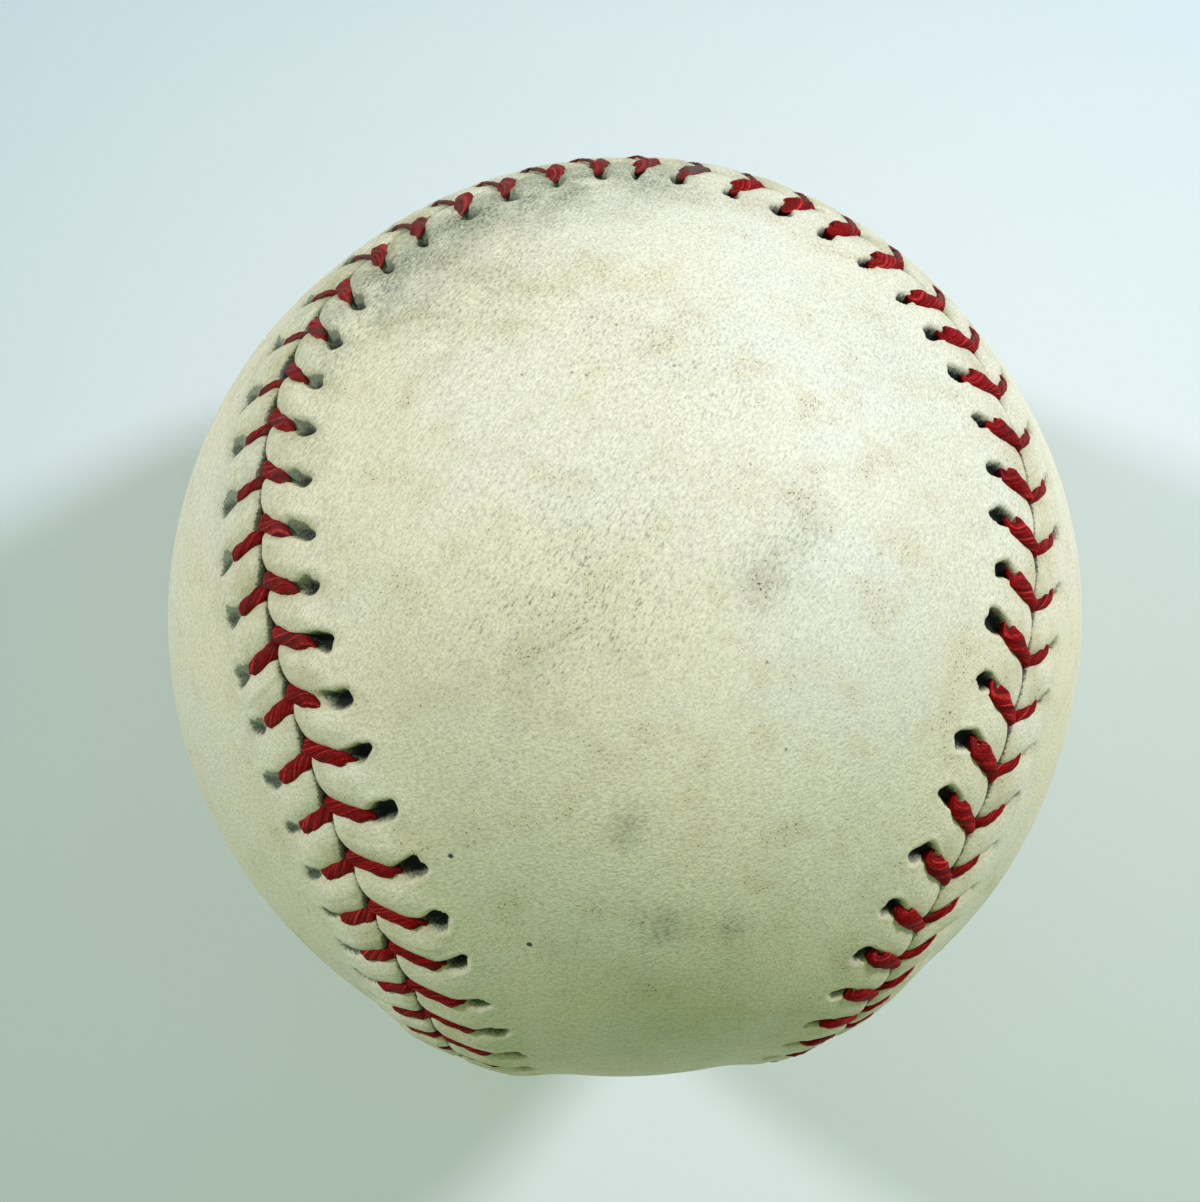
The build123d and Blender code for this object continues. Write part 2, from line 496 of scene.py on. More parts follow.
@dataclass(frozen=True)
class SeamThreadWax:
    """Red waxed thread, twisted from plies."""

    deep: Colour = srgb(70, 0, 3)
    red: Colour = srgb(144, 2, 8)
    # bright is the colour of painted highlights: glints on the thread's fibres.
    bright: Colour = srgb(228, 64, 56)
    dull: Colour = srgb(92, 80, 72)
    fibre_run: float = 11.0
    fibre_scale: float = 3.2
    red_ramp: Ramp = Ramp(0.33, 0.57)
    glint_ramp: Ramp = Ramp(0.55, 0.72, 0.85)
    # Painted shade in the furrows between the plies.
    furrow_ramp: Ramp = Ramp(-0.3, -1.0, 0.12)
    dust_size: float = 0.9
    dust_ramp: Ramp = Ramp(0.30, 0.70, 0.8)
    dust_low: float = 0.3
    fibre_height: float = 0.7
    ply_height: float = 0.3
    rough_low: float = 0.5
    fibre_rough: float = 0.2
    bump_depth: float = 0.07
    shine: float = 0.04

    def material(self) -> bpy.types.Material:
        """Builds the thread's finish.

        Returns:
            The material, which reads the sweep's run, ply, fibre and soil attributes.
        """
        paint = Paint("red_waxed_thread")
        along = paint.attribute("run") / (self.fibre_run * MM)
        sockets = {"X": paint.attribute("fibre_x"), "Y": paint.attribute("fibre_y"), "Z": along}
        place = paint.node("ShaderNodeCombineXYZ", {}, sockets)
        pattern = {"Vector": place, "Scale": self.fibre_scale, "Detail": 3.0}
        fibres = paint.node("ShaderNodeTexNoise", {}, pattern)
        plies = paint.attribute("ply")
        colour = paint.blend(self.red_ramp.of(fibres), self.deep, self.red)
        # Painted highlights: bright glints on the fibres.
        colour = paint.blend(self.glint_ramp.of(fibres), colour, self.bright)
        # Painted shade: the furrows between the plies darken to deep red.
        colour = paint.blend(self.furrow_ramp.of(plies), colour, self.deep)
        dust = self.dust_ramp.of(paint.noise(self.dust_size, detail=2.0)) + self.dust_low
        colour = paint.blend(paint.attribute("soil") * dust, colour, self.dull)
        height = fibres * self.fibre_height + plies * self.ply_height
        rough = self.rough_low + fibres * self.fibre_rough
        paint.finish(colour, rough, height, self.bump_depth, Specular_IOR_Level=self.shine)
        return paint.material


@dataclass(frozen=True)
class Yarn:
    """Wound yarn: wool or cotton."""

    name: str
    shade: Colour
    light: Colour
    fibre: float
    hair_turn: Triple = (24.0, 38.0, 10.0)
    hair_scale: Triple = (0.25, 1.0, 1.0)
    hair_ramp: Ramp = Ramp(0.32, 0.68)
    tuft_fibres: float = 9.0
    tuft_ramp: Ramp = Ramp(0.50, 0.72, 0.4)
    bump_depth: float = 0.12
    rough_low: float = 0.85
    hair_rough: float = 0.1
    sheen: float = 0.35
    sheen_rough: float = 0.5

    def material(self) -> bpy.types.Material:
        """Builds the yarn's finish.

        Returns:
            The material.
        """
        paint = Paint(self.name)
        hairs = paint.noise(self.fibre, detail=4.0, place=paint.stretched(self.hair_turn, self.hair_scale))
        tufts = paint.noise(self.fibre * self.tuft_fibres, detail=2.0)
        colour = paint.blend(self.hair_ramp.of(hairs), self.shade, self.light)
        colour = paint.blend(self.tuft_ramp.of(tufts), colour, self.shade)
        rough = self.rough_low + hairs * self.hair_rough
        sheen = {"Sheen_Weight": self.sheen, "Sheen_Roughness": self.sheen_rough}
        paint.finish(colour, rough, hairs, self.bump_depth, **sheen)
        return paint.material


@dataclass(frozen=True)
class Rubber:
    """Moulded rubber with a dusted skin."""

    name: str
    colour: Colour
    dust: Colour
    dust_size: float = 2.4
    dust_ramp: Ramp = Ramp(0.46, 0.74)
    dust_share: float = 0.35
    dust_height: float = 0.2
    pit_size: float = 0.3
    bump_depth: float = 0.04
    rough_low: float = 0.55
    dust_rough: float = 0.25
    shine: float = 0.4

    def material(self) -> bpy.types.Material:
        """Builds the rubber's finish.

        Returns:
            The material.
        """
        paint = Paint(self.name)
        dust = self.dust_ramp.of(paint.noise(self.dust_size, detail=5.0))
        pits = paint.noise(self.pit_size, detail=3.0)
        colour = paint.blend(dust * self.dust_share, self.colour, self.dust)
        height = pits + dust * self.dust_height
        rough = self.rough_low + dust * self.dust_rough
        paint.finish(colour, rough, height, self.bump_depth, Specular_IOR_Level=self.shine)
        return paint.material


@dataclass(frozen=True)
class CorkGranules:
    """Cork granules bound with rubber."""

    tan: Colour = srgb(178, 132, 84)
    brown: Colour = srgb(112, 74, 44)
    binder: Colour = srgb(48, 34, 26)
    granule_size: float = 1.5
    granule_ramp: Ramp = Ramp(0.0, 0.2)
    mottle_size: float = 0.4
    mottle_ramp: Ramp = Ramp(0.5, 0.8, 0.5)
    binder_ramp: Ramp = Ramp(0.10, 0.02)
    pit_size: float = 0.3
    pit_height: float = 0.3
    bump_depth: float = 0.15
    rough_low: float = 0.82
    tone_rough: float = 0.1

    def material(self) -> bpy.types.Material:
        """Builds the cork.

        Returns:
            The material.
        """
        paint = Paint("cork_granules")
        granule = paint.cells(self.granule_size)
        edge = paint.cells(self.granule_size, "DISTANCE_TO_EDGE")
        tone = paint.node("ShaderNodeSeparateColor", {}, {"Color": granule.other("Color")})
        colour = paint.blend(tone, self.tan, self.brown)
        mottle = paint.noise(self.mottle_size, detail=3.0)
        colour = paint.blend(self.mottle_ramp.of(mottle), colour, self.brown)
        colour = paint.blend(self.binder_ramp.of(edge), colour, self.binder)
        height = self.granule_ramp.of(edge) + paint.noise(self.pit_size, detail=2.0) * self.pit_height
        paint.finish(colour, self.rough_low + tone * self.tone_rough, height, self.bump_depth)
        return paint.material


# Seam


@dataclass
class SeamCurve:
    """The closed curve along which both panels meet."""

    ball_radius: float = 37.25
    waist_width: float = 23.0
    lobe_swell_degrees: float = 26.0
    stitch_count: int = 108
    table_size: int = 8192
    drift_smoothing: float = 1.1
    along_drift: Knots = (
        (58, 0.0), (66, -0.6), (70, -0.6), (74, 0.0), (78, -0.8), (81.5, -1.8), (86, -0.7),
        (90, 0.2), (95, 0.2), (100, 0.85), (104, 0.4), (108, 0.0),
    )
    side_drift: Knots = (
        (56, 0.0), (61, 0.1), (64, -0.8), (68, -1.2), (71.5, -0.8), (74, 0.5), (77, 1.4), (79, 0.7),
        (82, -0.3), (85.5, -0.2), (88, -1.0), (90, -0.5), (93, 0.2), (100, 0.0),
    )
    heading_step: float = 1e-4
    lengths: np.ndarray = field(init=False)
    turns: np.ndarray = field(init=False)
    stations: np.ndarray = field(init=False)
    along_shift: np.ndarray = field(init=False)
    side_shift: np.ndarray = field(init=False)

    def __post_init__(self) -> None:
        """Measures the curve once, so that a length gives its place."""
        self.turns = np.linspace(0.0, 4 * pi, self.table_size + 1)
        steps = np.linalg.norm(np.diff(self.outward(self.turns), axis=0), axis=1) * self.ball_radius
        self.lengths = np.concatenate([[0.0], np.cumsum(steps)])
        self.stations = np.linspace(0.0, self.stitch_count, 4 * self.stitch_count + 1)
        self.along_shift = self.smoothed(self.along_drift)
        self.side_shift = self.smoothed(self.side_drift)

    def smoothed(self, knots: Knots) -> np.ndarray:
        """Hand sewing's slow wander along the seam, from a few knots.

        Args:
            knots: Stitch numbers with the wander there.

        Returns:
            The wander at each station, smooth and closed.
        """
        places, values = zip(*knots)
        rough = np.interp(self.stations[:-1], places, values)
        away = np.abs(self.stations[:-1, None] - self.stations[None, :-1])
        away = np.minimum(away, self.stitch_count - away)
        weights = np.exp(-((away / self.drift_smoothing) ** 2) / 2)
        soft = weights @ rough / weights.sum(axis=1)
        return np.concatenate([soft, soft[:1]])

    @property
    def length(self) -> float:
        """The seam's whole length."""
        return float(self.lengths[-1])

    @property
    def pitch(self) -> float:
        """Length from one stitch to the next."""
        return self.length / self.stitch_count

    def outward(self, turn: np.ndarray) -> np.ndarray:
        """Directions from the centre to the seam, for turns from 0 to 4 pi.

        Args:
            turn: Turns along the seam.

        Returns:
            One unit vector for each turn.
        """
        waist_angle = self.waist_width / 2 / self.ball_radius
        polar = pi / 2 - (pi / 2 - waist_angle) * np.cos(turn)
        around = turn / 2 + radians(self.lobe_swell_degrees) * np.sin(2 * turn)
        parts = (np.sin(polar) * np.cos(around), -np.cos(polar), -np.sin(polar) * np.sin(around))
        return np.stack(parts, axis=-1)

    def beside(self, along: np.ndarray, sideways: np.ndarray, radius: np.ndarray) -> np.ndarray:
        """Points at lengths along the seam, widths to its side and radii from the centre.

        Args:
            along: Lengths along the seam.
            sideways: Widths, negative on the first panel and positive on the second.
            radius: Distances from the centre.

        Returns:
            One point for each length.
        """
        station = self.station(along)
        moved = np.asarray(along) + np.interp(station, self.stations, self.along_shift)
        outward, heading = self.frame_at(moved)
        side = np.cross(outward, heading)
        wide = np.asarray(sideways) + np.interp(station, self.stations, self.side_shift)
        angle = (wide / self.ball_radius)[..., None]
        return np.asarray(radius)[..., None] * (outward * np.cos(angle) + side * np.sin(angle))

    def station(self, along: np.ndarray) -> np.ndarray:
        """Stitches from the seam's start to lengths along it."""
        return np.mod(along, self.length) / self.pitch

    def middle(self, index: np.ndarray) -> np.ndarray:
        """Lengths along the seam of the middles of stitches, counted from 0."""
        return self.pitch * (index + 0.5)

    def frame_at(self, along: np.ndarray) -> tuple[np.ndarray, np.ndarray]:
        """Outward directions and headings of the seam at lengths along it."""
        turn = np.interp(np.mod(along, self.length), self.lengths, self.turns)
        heading = self.outward(turn + self.heading_step) - self.outward(turn - self.heading_step)
        return self.outward(turn), heading / np.linalg.norm(heading, axis=-1, keepdims=True)


@dataclass
class StitchPlan:
    """Where each stitch's hole and dive lie, with the small unevenness of hand sewing."""

    seam: SeamCurve
    hole_offset: float = 4.45
    first_lead: float = 2.0
    second_lead: float = 1.1
    straight_lead: float = -0.7
    straight_shift: float = 0.45
    straight_rise: Pair = (76.0, 86.0)
    straight_fall: Pair = (91.0, 98.0)
    skew_lead: float = 1.1
    skew_shift: float = -0.6
    skew_rise: Pair = (76.0, 86.0)
    skew_fall: Pair = (102.0, 107.5)
    first_slant_power: float = 1.5
    second_slant_power: float = 1.2
    # Stitch numbers, counted from 1, with the value there: a row for the first panel and one for the second
    emerging: SideKnots = (
        ((66, 3.5), (67, 2.4), (68, 3.1), (69, 2.6), (77, 2.3), (81, 2.6), (86, 3.2), (102, 3.2),
         (107, 3.5)),
        ((66, 3.4), (72, 2.8), (78, 2.5), (86, 2.6), (102, 2.7), (107, 3.4)),
    )
    piercing: SideKnots = (
        ((65, 4.45), (69, 3.6), (77, 3.3), (81, 3.6), (86, 4.2), (102, 4.2), (108, 4.45)),
        ((0, 4.6), (66, 4.5), (72, 3.9), (80, 3.6), (102, 3.7), (107, 4.6)),
    )
    # How dark the painted shade in each stitch hole's core is.
    darkness: SideKnots = (
        ((66, 0.8), (67, 0.5), (68, 0.7), (69, 0.15), (70, 0.0), (80, 0.2), (86, 1.0), (108, 0.8)),
        ((44, 0.8), (50, 0.0), (80, 0.0), (86, 0.8)),
    )
    scuffed: SideKnots = (
        ((0, 0.0),),
        ((44, 0.0), (50, 1.0), (80, 1.0), (86, 0.0)),
    )
    flattened: Knots = ((73, 0.0), (75, 0.4), (78, 1.0), (90, 1.0), (102, 0.7), (107, 0.0))
    flat_lip: float = 0.25
    flat_puff: float = 0.70
    flat_valley: float = 0.55
    flat_pit: float = 0.2
    slimness: SideKnots = (
        ((73, 1.0), (77, 1.2), (86, 1.2), (94, 1.1), (102, 1.0)),
        ((68, 1.0), (72, 0.65), (76, 0.38), (84, 0.38), (88, 0.75), (94, 0.85), (104, 0.85), (108, 1.0)),
    )
    cover_soil: SideKnots = (
        ((0, 0.0), (65, 0.05), (69, 0.40), (72, 0.7), (80, 0.75), (82, 0.6), (84, 0.25), (88, 0.06),
         (108, 0.0)),
        ((0, 0.0), (66, 0.1), (72, 0.4), (84, 0.5), (90, 0.15), (108, 0.0)),
    )
    soil_reach: Pair = (3.6, 8.6)
    soiling: SideKnots = (
        ((0, 0.05), (66, 0.1), (72, 0.4), (80, 0.5), (82, 0.5), (83, 1.0), (84, 0.1), (108, 0.05)),
        ((0, 0.05), (70, 0.15), (74, 0.5), (77, 0.9), (85, 0.9), (90, 0.3), (96, 0.05)),
    )
    uneven_width: float = 0.22
    uneven_along: float = 0.14
    uneven_size: float = 0.18
    uneven_puff: float = 0.25
    uneven_tilt: float = 0.4
    seed: int = 41
    hole_wander: dict[Side, np.ndarray] = field(init=False)
    hole_width: dict[Side, np.ndarray] = field(init=False)
    hole_shift: dict[Side, np.ndarray] = field(init=False)
    hole_size: dict[Side, np.ndarray] = field(init=False)
    puff: dict[Side, np.ndarray] = field(init=False)
    hole_tilt: dict[Side, np.ndarray] = field(init=False)

    def __post_init__(self) -> None:
        """Draws the unevenness with a fixed seed."""
        draw = np.random.RandomState(self.seed)
        count = self.seam.stitch_count
        self.hole_wander, self.hole_width, self.hole_shift = {}, {}, {}
        self.hole_size, self.puff, self.hole_tilt = {}, {}, {}
        for side in Side:
            self.hole_wander[side] = self.uneven_width * draw.uniform(-1, 1, count)
            pierced = self.read(self.piercing, side, np.arange(count) + 1)
            self.hole_width[side] = pierced + self.hole_wander[side]
            self.hole_shift[side] = self.uneven_along * draw.uniform(-1, 1, count)
            self.hole_size[side] = 1 + self.uneven_size * draw.uniform(-1, 1, count)
            self.puff[side] = 1 + self.uneven_puff * draw.uniform(-1, 1, count)
            self.hole_tilt[side] = self.uneven_tilt * draw.uniform(-1, 1, count)
        middles = self.seam.middle(np.arange(count))
        self.hole_shift[Side.FIRST] += self.straight_shift * self.straight(middles)
        self.hole_shift[Side.SECOND] += self.skew_shift * self.skew(middles)

    def skew(self, along: np.ndarray) -> np.ndarray:
        """Share of the stretch where the second panel was sewn askew, from 0 to 1."""
        return self.stretch(along, self.skew_rise, self.skew_fall)

    def straight(self, along: np.ndarray) -> np.ndarray:
        """Share of the stretch where the first panel's stitches run straighter to the seam, from 0 to 1."""
        return self.stretch(along, self.straight_rise, self.straight_fall)

    def stretch(self, along: np.ndarray, rise: Pair, fall: Pair) -> np.ndarray:
        """Share of a stretch of the seam, from 0 outside it to 1 inside it.

        Args:
            along: Lengths along the seam.
            rise: Stitch numbers between which the stretch starts.
            fall: Stitch numbers between which it ends.

        Returns:
            Shares from 0 to 1.
        """
        station = self.seam.station(along)
        return smooth_step(station, *rise) * (1 - smooth_step(station, *fall))

    def flat(self, number: np.ndarray) -> np.ndarray:
        """Share by which the seam's edges are pressed flat, at stitch numbers counted from 1."""
        return np.interp(number, *zip(*self.flattened))

    @staticmethod
    def read(knots: SideKnots, side: Side, number: np.ndarray) -> np.ndarray:
        """Value at stitch numbers of one side's knots.

        Args:
            knots: Stitch numbers with their values, for the first side and the second.
            side: The panel.
            number: Stitch numbers, counted from 1.

        Returns:
            The values between the knots.
        """
        places, values = zip(*knots[side is Side.SECOND])
        return np.interp(number, places, values)

    def hole(self, side: Side, index: np.ndarray | int) -> np.ndarray:
        """Lengths along the seam of one panel's holes."""
        return self.seam.middle(index) + self.hole_shift[side][index]

    def emerge(self, side: Side, index: int) -> float:
        """Width from the seam at which a stitch comes up through its hole."""
        return float(self.read(self.emerging, side, index + 1)) + self.hole_wander[side][index]

    def soil(self, side: Side, index: int) -> float:
        """Share of dirt on a stitch."""
        return float(self.read(self.soiling, side, index + 1))

    def lead(self, side: Side, along: np.ndarray) -> np.ndarray:
        """How far stitches run ahead of their holes, at lengths along the seam."""
        if side is Side.FIRST:
            return self.first_lead + self.straight_lead * self.straight(along)
        return self.second_lead + self.skew_lead * self.skew(along)

    def slant(self, side: Side, width: np.ndarray, along: np.ndarray) -> np.ndarray:
        """How far ahead of its hole a stitch is, at widths from the seam.

        Args:
            side: The panel.
            width: Widths from the seam.
            along: Lengths along the seam.

        Returns:
            Lengths along the seam.
        """
        power = self.first_slant_power if side is Side.FIRST else self.second_slant_power
        return self.lead(side, along) * np.clip(1 - width / self.hole_offset, 0.0, 1.0) ** power


# Cover


@dataclass
class CoverPanel:
    """One leather panel: a figure of eight with a raised, puckered edge and stitch holes."""

    seam: SeamCurve
    plan: StitchPlan
    side: Side
    name: str
    node: str
    inner_radius: float = 36.05
    channel_roof: float = 37.05
    edge_gap: float = 0.03
    edge_pull: float = 0.30
    pull_half: float = 0.75
    pull_reach: float = 3.0
    lip_height: float = 0.62
    lip_crown: float = 2.7
    lip_foot: float = 8.6
    lip_mark: Pair = (0.8, 4.2)
    edge_round: float = 1.0
    edge_drop: float = 0.62
    puff_height: float = 0.32
    puff_fade: Pair = (2.6, 6.2)
    puff_wear: float = 0.45
    puff_clean: float = 0.6
    valley_depth: float = 0.32
    valley_half: float = 0.62
    valley_fade: Pair = (4.3, 6.2)
    hole_half_width: float = 1.28
    hole_half_along: float = 0.74
    hole_tight: float = 0.04
    hole_pull: float = 0.32
    hole_depth: float = 0.45
    hole_fade: Pair = (0.45, 1.1)
    taper_middle: float = 0.92
    taper_gain: float = 0.34
    taper_ends: Pair = (-1.0, 0.6)
    # Waves round a hole, their turn from one hole to the next, and their depth
    ragged_waves: tuple[Triple, ...] = ((3.0, 5.1, 0.10), (5.0, 2.3, 0.08))
    rim_place: float = 1.3
    rim_half: float = 0.3
    rim_height: float = 0.06
    core_depth: float = 0.75
    core_across: float = 1.15
    core_along: float = 1.2
    core_spread: float = 0.2
    core_aside: float = 0.34
    core_ahead: float = 0.42
    core_start: Pair = (0.35, 0.25)
    core_fade: Pair = (0.7, -0.15)
    core_share: Pair = (0.6, 0.4)
    core_scuff: float = 0.25
    scuff_spread: float = 0.08
    scuff_fill: float = 0.75
    groove_start: float = 0.02
    groove_width: float = 0.3
    groove_narrow: float = 0.5
    groove_share: Pair = (0.55, 0.45)
    notch_ahead: float = 0.55
    notch_half: float = 0.75
    notch_skew: float = 0.85
    swell_height: float = 0.10
    # Waves in radians per millimetre of X, Y and Z, and the angle that each starts from
    swell_waves: tuple[tuple[float, float, float, float], ...] = (
        (0.17, 0.05, -0.11, 0.4), (-0.08, 0.21, 0.06, 1.9),
        (0.12, -0.14, 0.19, 3.1), (0.27, 0.2, -0.05, 5.2),
    )
    stations_per_stitch: int = 20
    thinning: int = 4
    chord_columns: int = 44
    chord_blend: float = 6.0
    inner_columns: int = 12

    rows: tuple[float, ...] = (
        0.0, 0.05, 0.14, 0.27, 0.44, 0.66, 0.95, 1.3, 1.7, 2.1, 2.5, 2.9, 3.25, 3.55, 3.8, 4.05,
        4.3, 4.55, 4.8, 5.05, 5.3, 5.55, 5.8, 6.1, 6.45, 6.9,
    )
    outer_rows: tuple[float, ...] = (7.3, 7.7, 8.2, 8.8)
    under_rows: tuple[Pair, ...] = ((2.2, 37.05), (2.8, 36.2), (6.6, 36.12), (8.8, 36.05))
    mark_names: tuple[str, ...] = ("hole", "core", "groove", "valley", "lip", "soil")

    def phase(self, along: np.ndarray) -> tuple[np.ndarray, np.ndarray]:
        """Nearest stitch to each station, and the station's distance from that stitch's hole."""
        index = np.floor(along / self.seam.pitch).astype(int) % self.seam.stitch_count
        return index, np.mod(along, self.seam.length) - self.plan.hole(self.side, index)

    def swell(self, points: np.ndarray) -> np.ndarray:
        """Slow hollows and swellings of the leather over the yarn, in millimetres.

        Args:
            points: Points on the ball.

        Returns:
            Heights.
        """
        total = sum(np.sin(points @ np.array(wave[:3]) + wave[3]) for wave in self.swell_waves)
        return self.swell_height * total / len(self.swell_waves)

    def pierced(
        self, along: np.ndarray, width: np.ndarray, index: np.ndarray, away: np.ndarray
    ) -> tuple[np.ndarray, np.ndarray, np.ndarray]:
        """Stitch holes: the pits, the cores inside them, which sink deeper and are painted dark as shade,
        and the swollen rims round them.

        Args:
            along: Lengths along the seam at the holes' line.
            width: Widths from the seam.
            index: The nearest stitch.
            away: Distance from that stitch's hole.

        Returns:
            Shares of pit and of core, and heights of the rims.
        """
        side, plan = self.side, self.plan
        upward = self.seam.frame_at(along)[1][..., 1]
        scuff = plan.read(plan.scuffed, side, index + 1)
        dark = plan.read(plan.darkness, side, index + 1)
        size = plan.hole_size[side][index] * (1 - self.hole_tight * plan.skew(along))
        half_along = self.hole_half_along * (1 + self.scuff_spread * scuff)
        across = (width - plan.hole_width[side][index]) / (self.hole_half_width * size)
        taper = self.taper_middle + self.taper_gain * np.clip(across, *self.taper_ends)
        tilt = plan.hole_tilt[side][index] * across
        ahead = (away - self.hole_pull * upward) / (half_along * size * taper) + tilt
        bearing = np.arctan2(ahead, across)
        ragged = sum(
            depth * np.sin(waves * bearing + turn * index) for waves, turn, depth in self.ragged_waves
        )
        reach = np.hypot(across, ahead) + ragged
        hole = 1 - smooth_step(reach, *self.hole_fade)
        rim = np.exp(-(((reach - self.rim_place) / self.rim_half) ** 2)) * self.rim_height

        # The core is painted shade: where the hole is darker, the core is larger, stronger and more central.
        light = 1 - dark
        core_across = across * (self.core_across - self.core_spread * dark) - self.core_aside * light
        core_ahead = ahead * (self.core_along - self.core_spread * dark)
        core_ahead = core_ahead + upward * self.core_ahead * light
        core_reach = np.hypot(core_across, core_ahead) + ragged
        start = self.core_start[0] + self.core_start[1] * dark
        fade = self.core_fade[0] + self.core_fade[1] * dark
        share = (self.core_share[0] + self.core_share[1] * dark) * (1 - self.core_scuff * scuff)
        core = (1 - smooth_step(core_reach, start, start + fade)) * share
        return hole, core, rim

    def surface(self, along: np.ndarray, offset: np.ndarray) -> tuple[np.ndarray, dict[str, np.ndarray]]:
        """Points of the outer skin beside the seam, with the marks that its finish reads.

        Args:
            along: Lengths along the seam at the holes' line.
            offset: Widths from the panel's edge.

        Returns:
            Points, and the hole, core, groove, valley, lip and soil shares.
        """
        side, plan = self.side, self.plan
        index, away = self.phase(along)
        edge = self.edge_gap + self.edge_pull * np.exp(-((away / self.pull_half) ** 2))
        width = edge * np.clip(1 - offset / self.pull_reach, 0.0, 1.0) + offset
        flat = plan.flat(self.seam.station(along) + 0.5)
        scuff = plan.read(plan.scuffed, side, index + 1)
        dirty = plan.read(plan.cover_soil, side, index + 1)
        hole, core, rim = self.pierced(along, width, index, away)

        lip = 1 - smooth_step(width, self.lip_crown, self.lip_foot)
        puff = (1 - np.cos(pi * away / self.seam.pitch) ** 2) * (1 - smooth_step(width, *self.puff_fade))
        puff_height = self.puff_height * (1 - self.puff_wear * dirty) * plan.puff[side][index]
        valley = np.exp(-((away / self.valley_half) ** 2)) * (1 - smooth_step(width, *self.valley_fade))
        rounding = np.clip(offset / self.edge_round, 0.0, 1.0)
        drop = self.edge_drop * (1 - np.sqrt(np.clip(1 - (1 - rounding) ** 2, 0.0, 1.0)))
        pit = (self.hole_depth * hole + self.core_depth * core) * (1 - self.scuff_fill * scuff)
        height = self.lip_height * (1 - plan.flat_lip * flat) * lip
        height = height + puff_height * (1 - plan.flat_puff * flat) * puff
        height = height - self.valley_depth * (1 - plan.flat_valley * flat) * valley
        height = height - drop - pit * (1 - plan.flat_pit * flat) + rim

        notch = np.exp(-(((away - self.notch_ahead) / self.notch_half) ** 2))
        notch = notch * (1 - self.notch_skew * plan.skew(along))
        groove_end = self.groove_width * (self.groove_narrow + notch)
        groove = 1 - smooth_step(offset, self.groove_start, groove_end)
        shifted = along + plan.slant(side, width, along)
        base = self.seam.beside(shifted, side.value * width, np.full_like(width, self.seam.ball_radius))
        points = base * (1 + (height + self.swell(base)) / self.seam.ball_radius)[..., None]
        # core, groove and valley mark where the finish paints shade: the holes' cores, the seam's gap, where
        # grime also sits, and the creases under the stitches.
        marks = {
            "hole": hole,
            "core": core,
            "groove": groove * (self.groove_share[0] + self.groove_share[1] * notch),
            "valley": valley * (1 - hole),
            "lip": 1 - smooth_step(width, *self.lip_mark),
            "soil": dirty * (1 - smooth_step(width, *plan.soil_reach)) * (1 - self.puff_clean * puff),
        }
        return points, marks

    def chords(self, rim: np.ndarray, columns: int, radius: float | None) -> tuple[np.ndarray, np.ndarray]:
        """Fills the panel inside a closed rim with rows of points from one edge to the opposite one.

        Args:
            rim: The rim's points, evenly spaced along the seam.
            columns: Steps from edge to edge.
            radius: Radius of the skin, or None to keep the rim's own.

        Returns:
            The new points, and a grid of indices for each lobe, which counts the rim's points first.
        """
        count = len(rim)
        quarter = count // 4
        start = 0 if self.side is Side.FIRST else quarter
        lines = []
        for lobe in (0, 2):
            middle = start + (lobe + 1) * quarter
            lines.append([(middle - step, middle + step) for step in range(quarter, 0, -1)])
        shares = np.arange(1, columns) / columns
        new_points, grids = [], []
        next_index = count
        for line in lines:
            rows = []
            for first, last in line:
                first, last = first % count, last % count
                length_one, length_two = np.linalg.norm(rim[first]), np.linalg.norm(rim[last])
                one, two = rim[first] / length_one, rim[last] / length_two
                angle = np.arccos(np.clip(one @ two, -1, 1))
                weights = np.sin(np.stack([1 - shares, shares], 1) * angle) / np.sin(angle)
                unit = weights[:, :1] * one + weights[:, 1:] * two
                if radius is None:
                    high = length_one + (length_two - length_one) * shares
                    flat = np.minimum(1.0, self.chord_blend * np.minimum(shares, 1 - shares))
                    smooth = self.seam.ball_radius + self.swell(unit * self.seam.ball_radius)
                    high = high + (smooth - high) * flat
                else:
                    high = np.full(len(shares), radius)
                new_points.append(unit * high[:, None])
                rows.append([first, *range(next_index, next_index + columns - 1), last])
                next_index += columns - 1
            grids.append(rows)
        return np.concatenate(new_points), np.array(grids)

    def build(self, leather: bpy.types.Material) -> bpy.types.Object:
        """Builds the panel's closed mesh.

        Args:
            leather: Its finish.

        Returns:
            The panel.
        """
        seam, fine = self.seam, self.seam.stitch_count * self.stations_per_stitch
        coarse = fine // self.thinning
        fine_along = seam.length * np.arange(fine) / fine
        coarse_along = fine_along[:: self.thinning]
        mesh = MeshSheet(self.side is Side.SECOND)
        marks: dict[str, list[np.ndarray]] = {mark: [] for mark in self.mark_names}

        def add(points: np.ndarray, shares: dict[str, np.ndarray] | None = None) -> np.ndarray:
            """Adds points with their marks, or with none."""
            for mark, kept in marks.items():
                kept.append(shares[mark] if shares else np.zeros(len(points)))
            return mesh.points_added(points)

        rings = [add(*self.surface(fine_along, np.full(fine, offset))) for offset in self.rows]
        mesh.strips(rings)
        rims = [self.surface(coarse_along, np.full(coarse, offset)) for offset in self.outer_rows]
        outer = [add(*rim) for rim in rims]
        mesh.thinned_strip(rings[-1], outer[0], self.thinning)
        mesh.strips(outer)
        inside, grids = self.chords(rims[-1][0], self.chord_columns, None)
        mesh.fill(outer[-1], add(inside), grids)

        edge_points, edge_marks = self.surface(fine_along, np.zeros(fine))
        foot = edge_points / np.linalg.norm(edge_points, axis=1)[:, None] * self.channel_roof
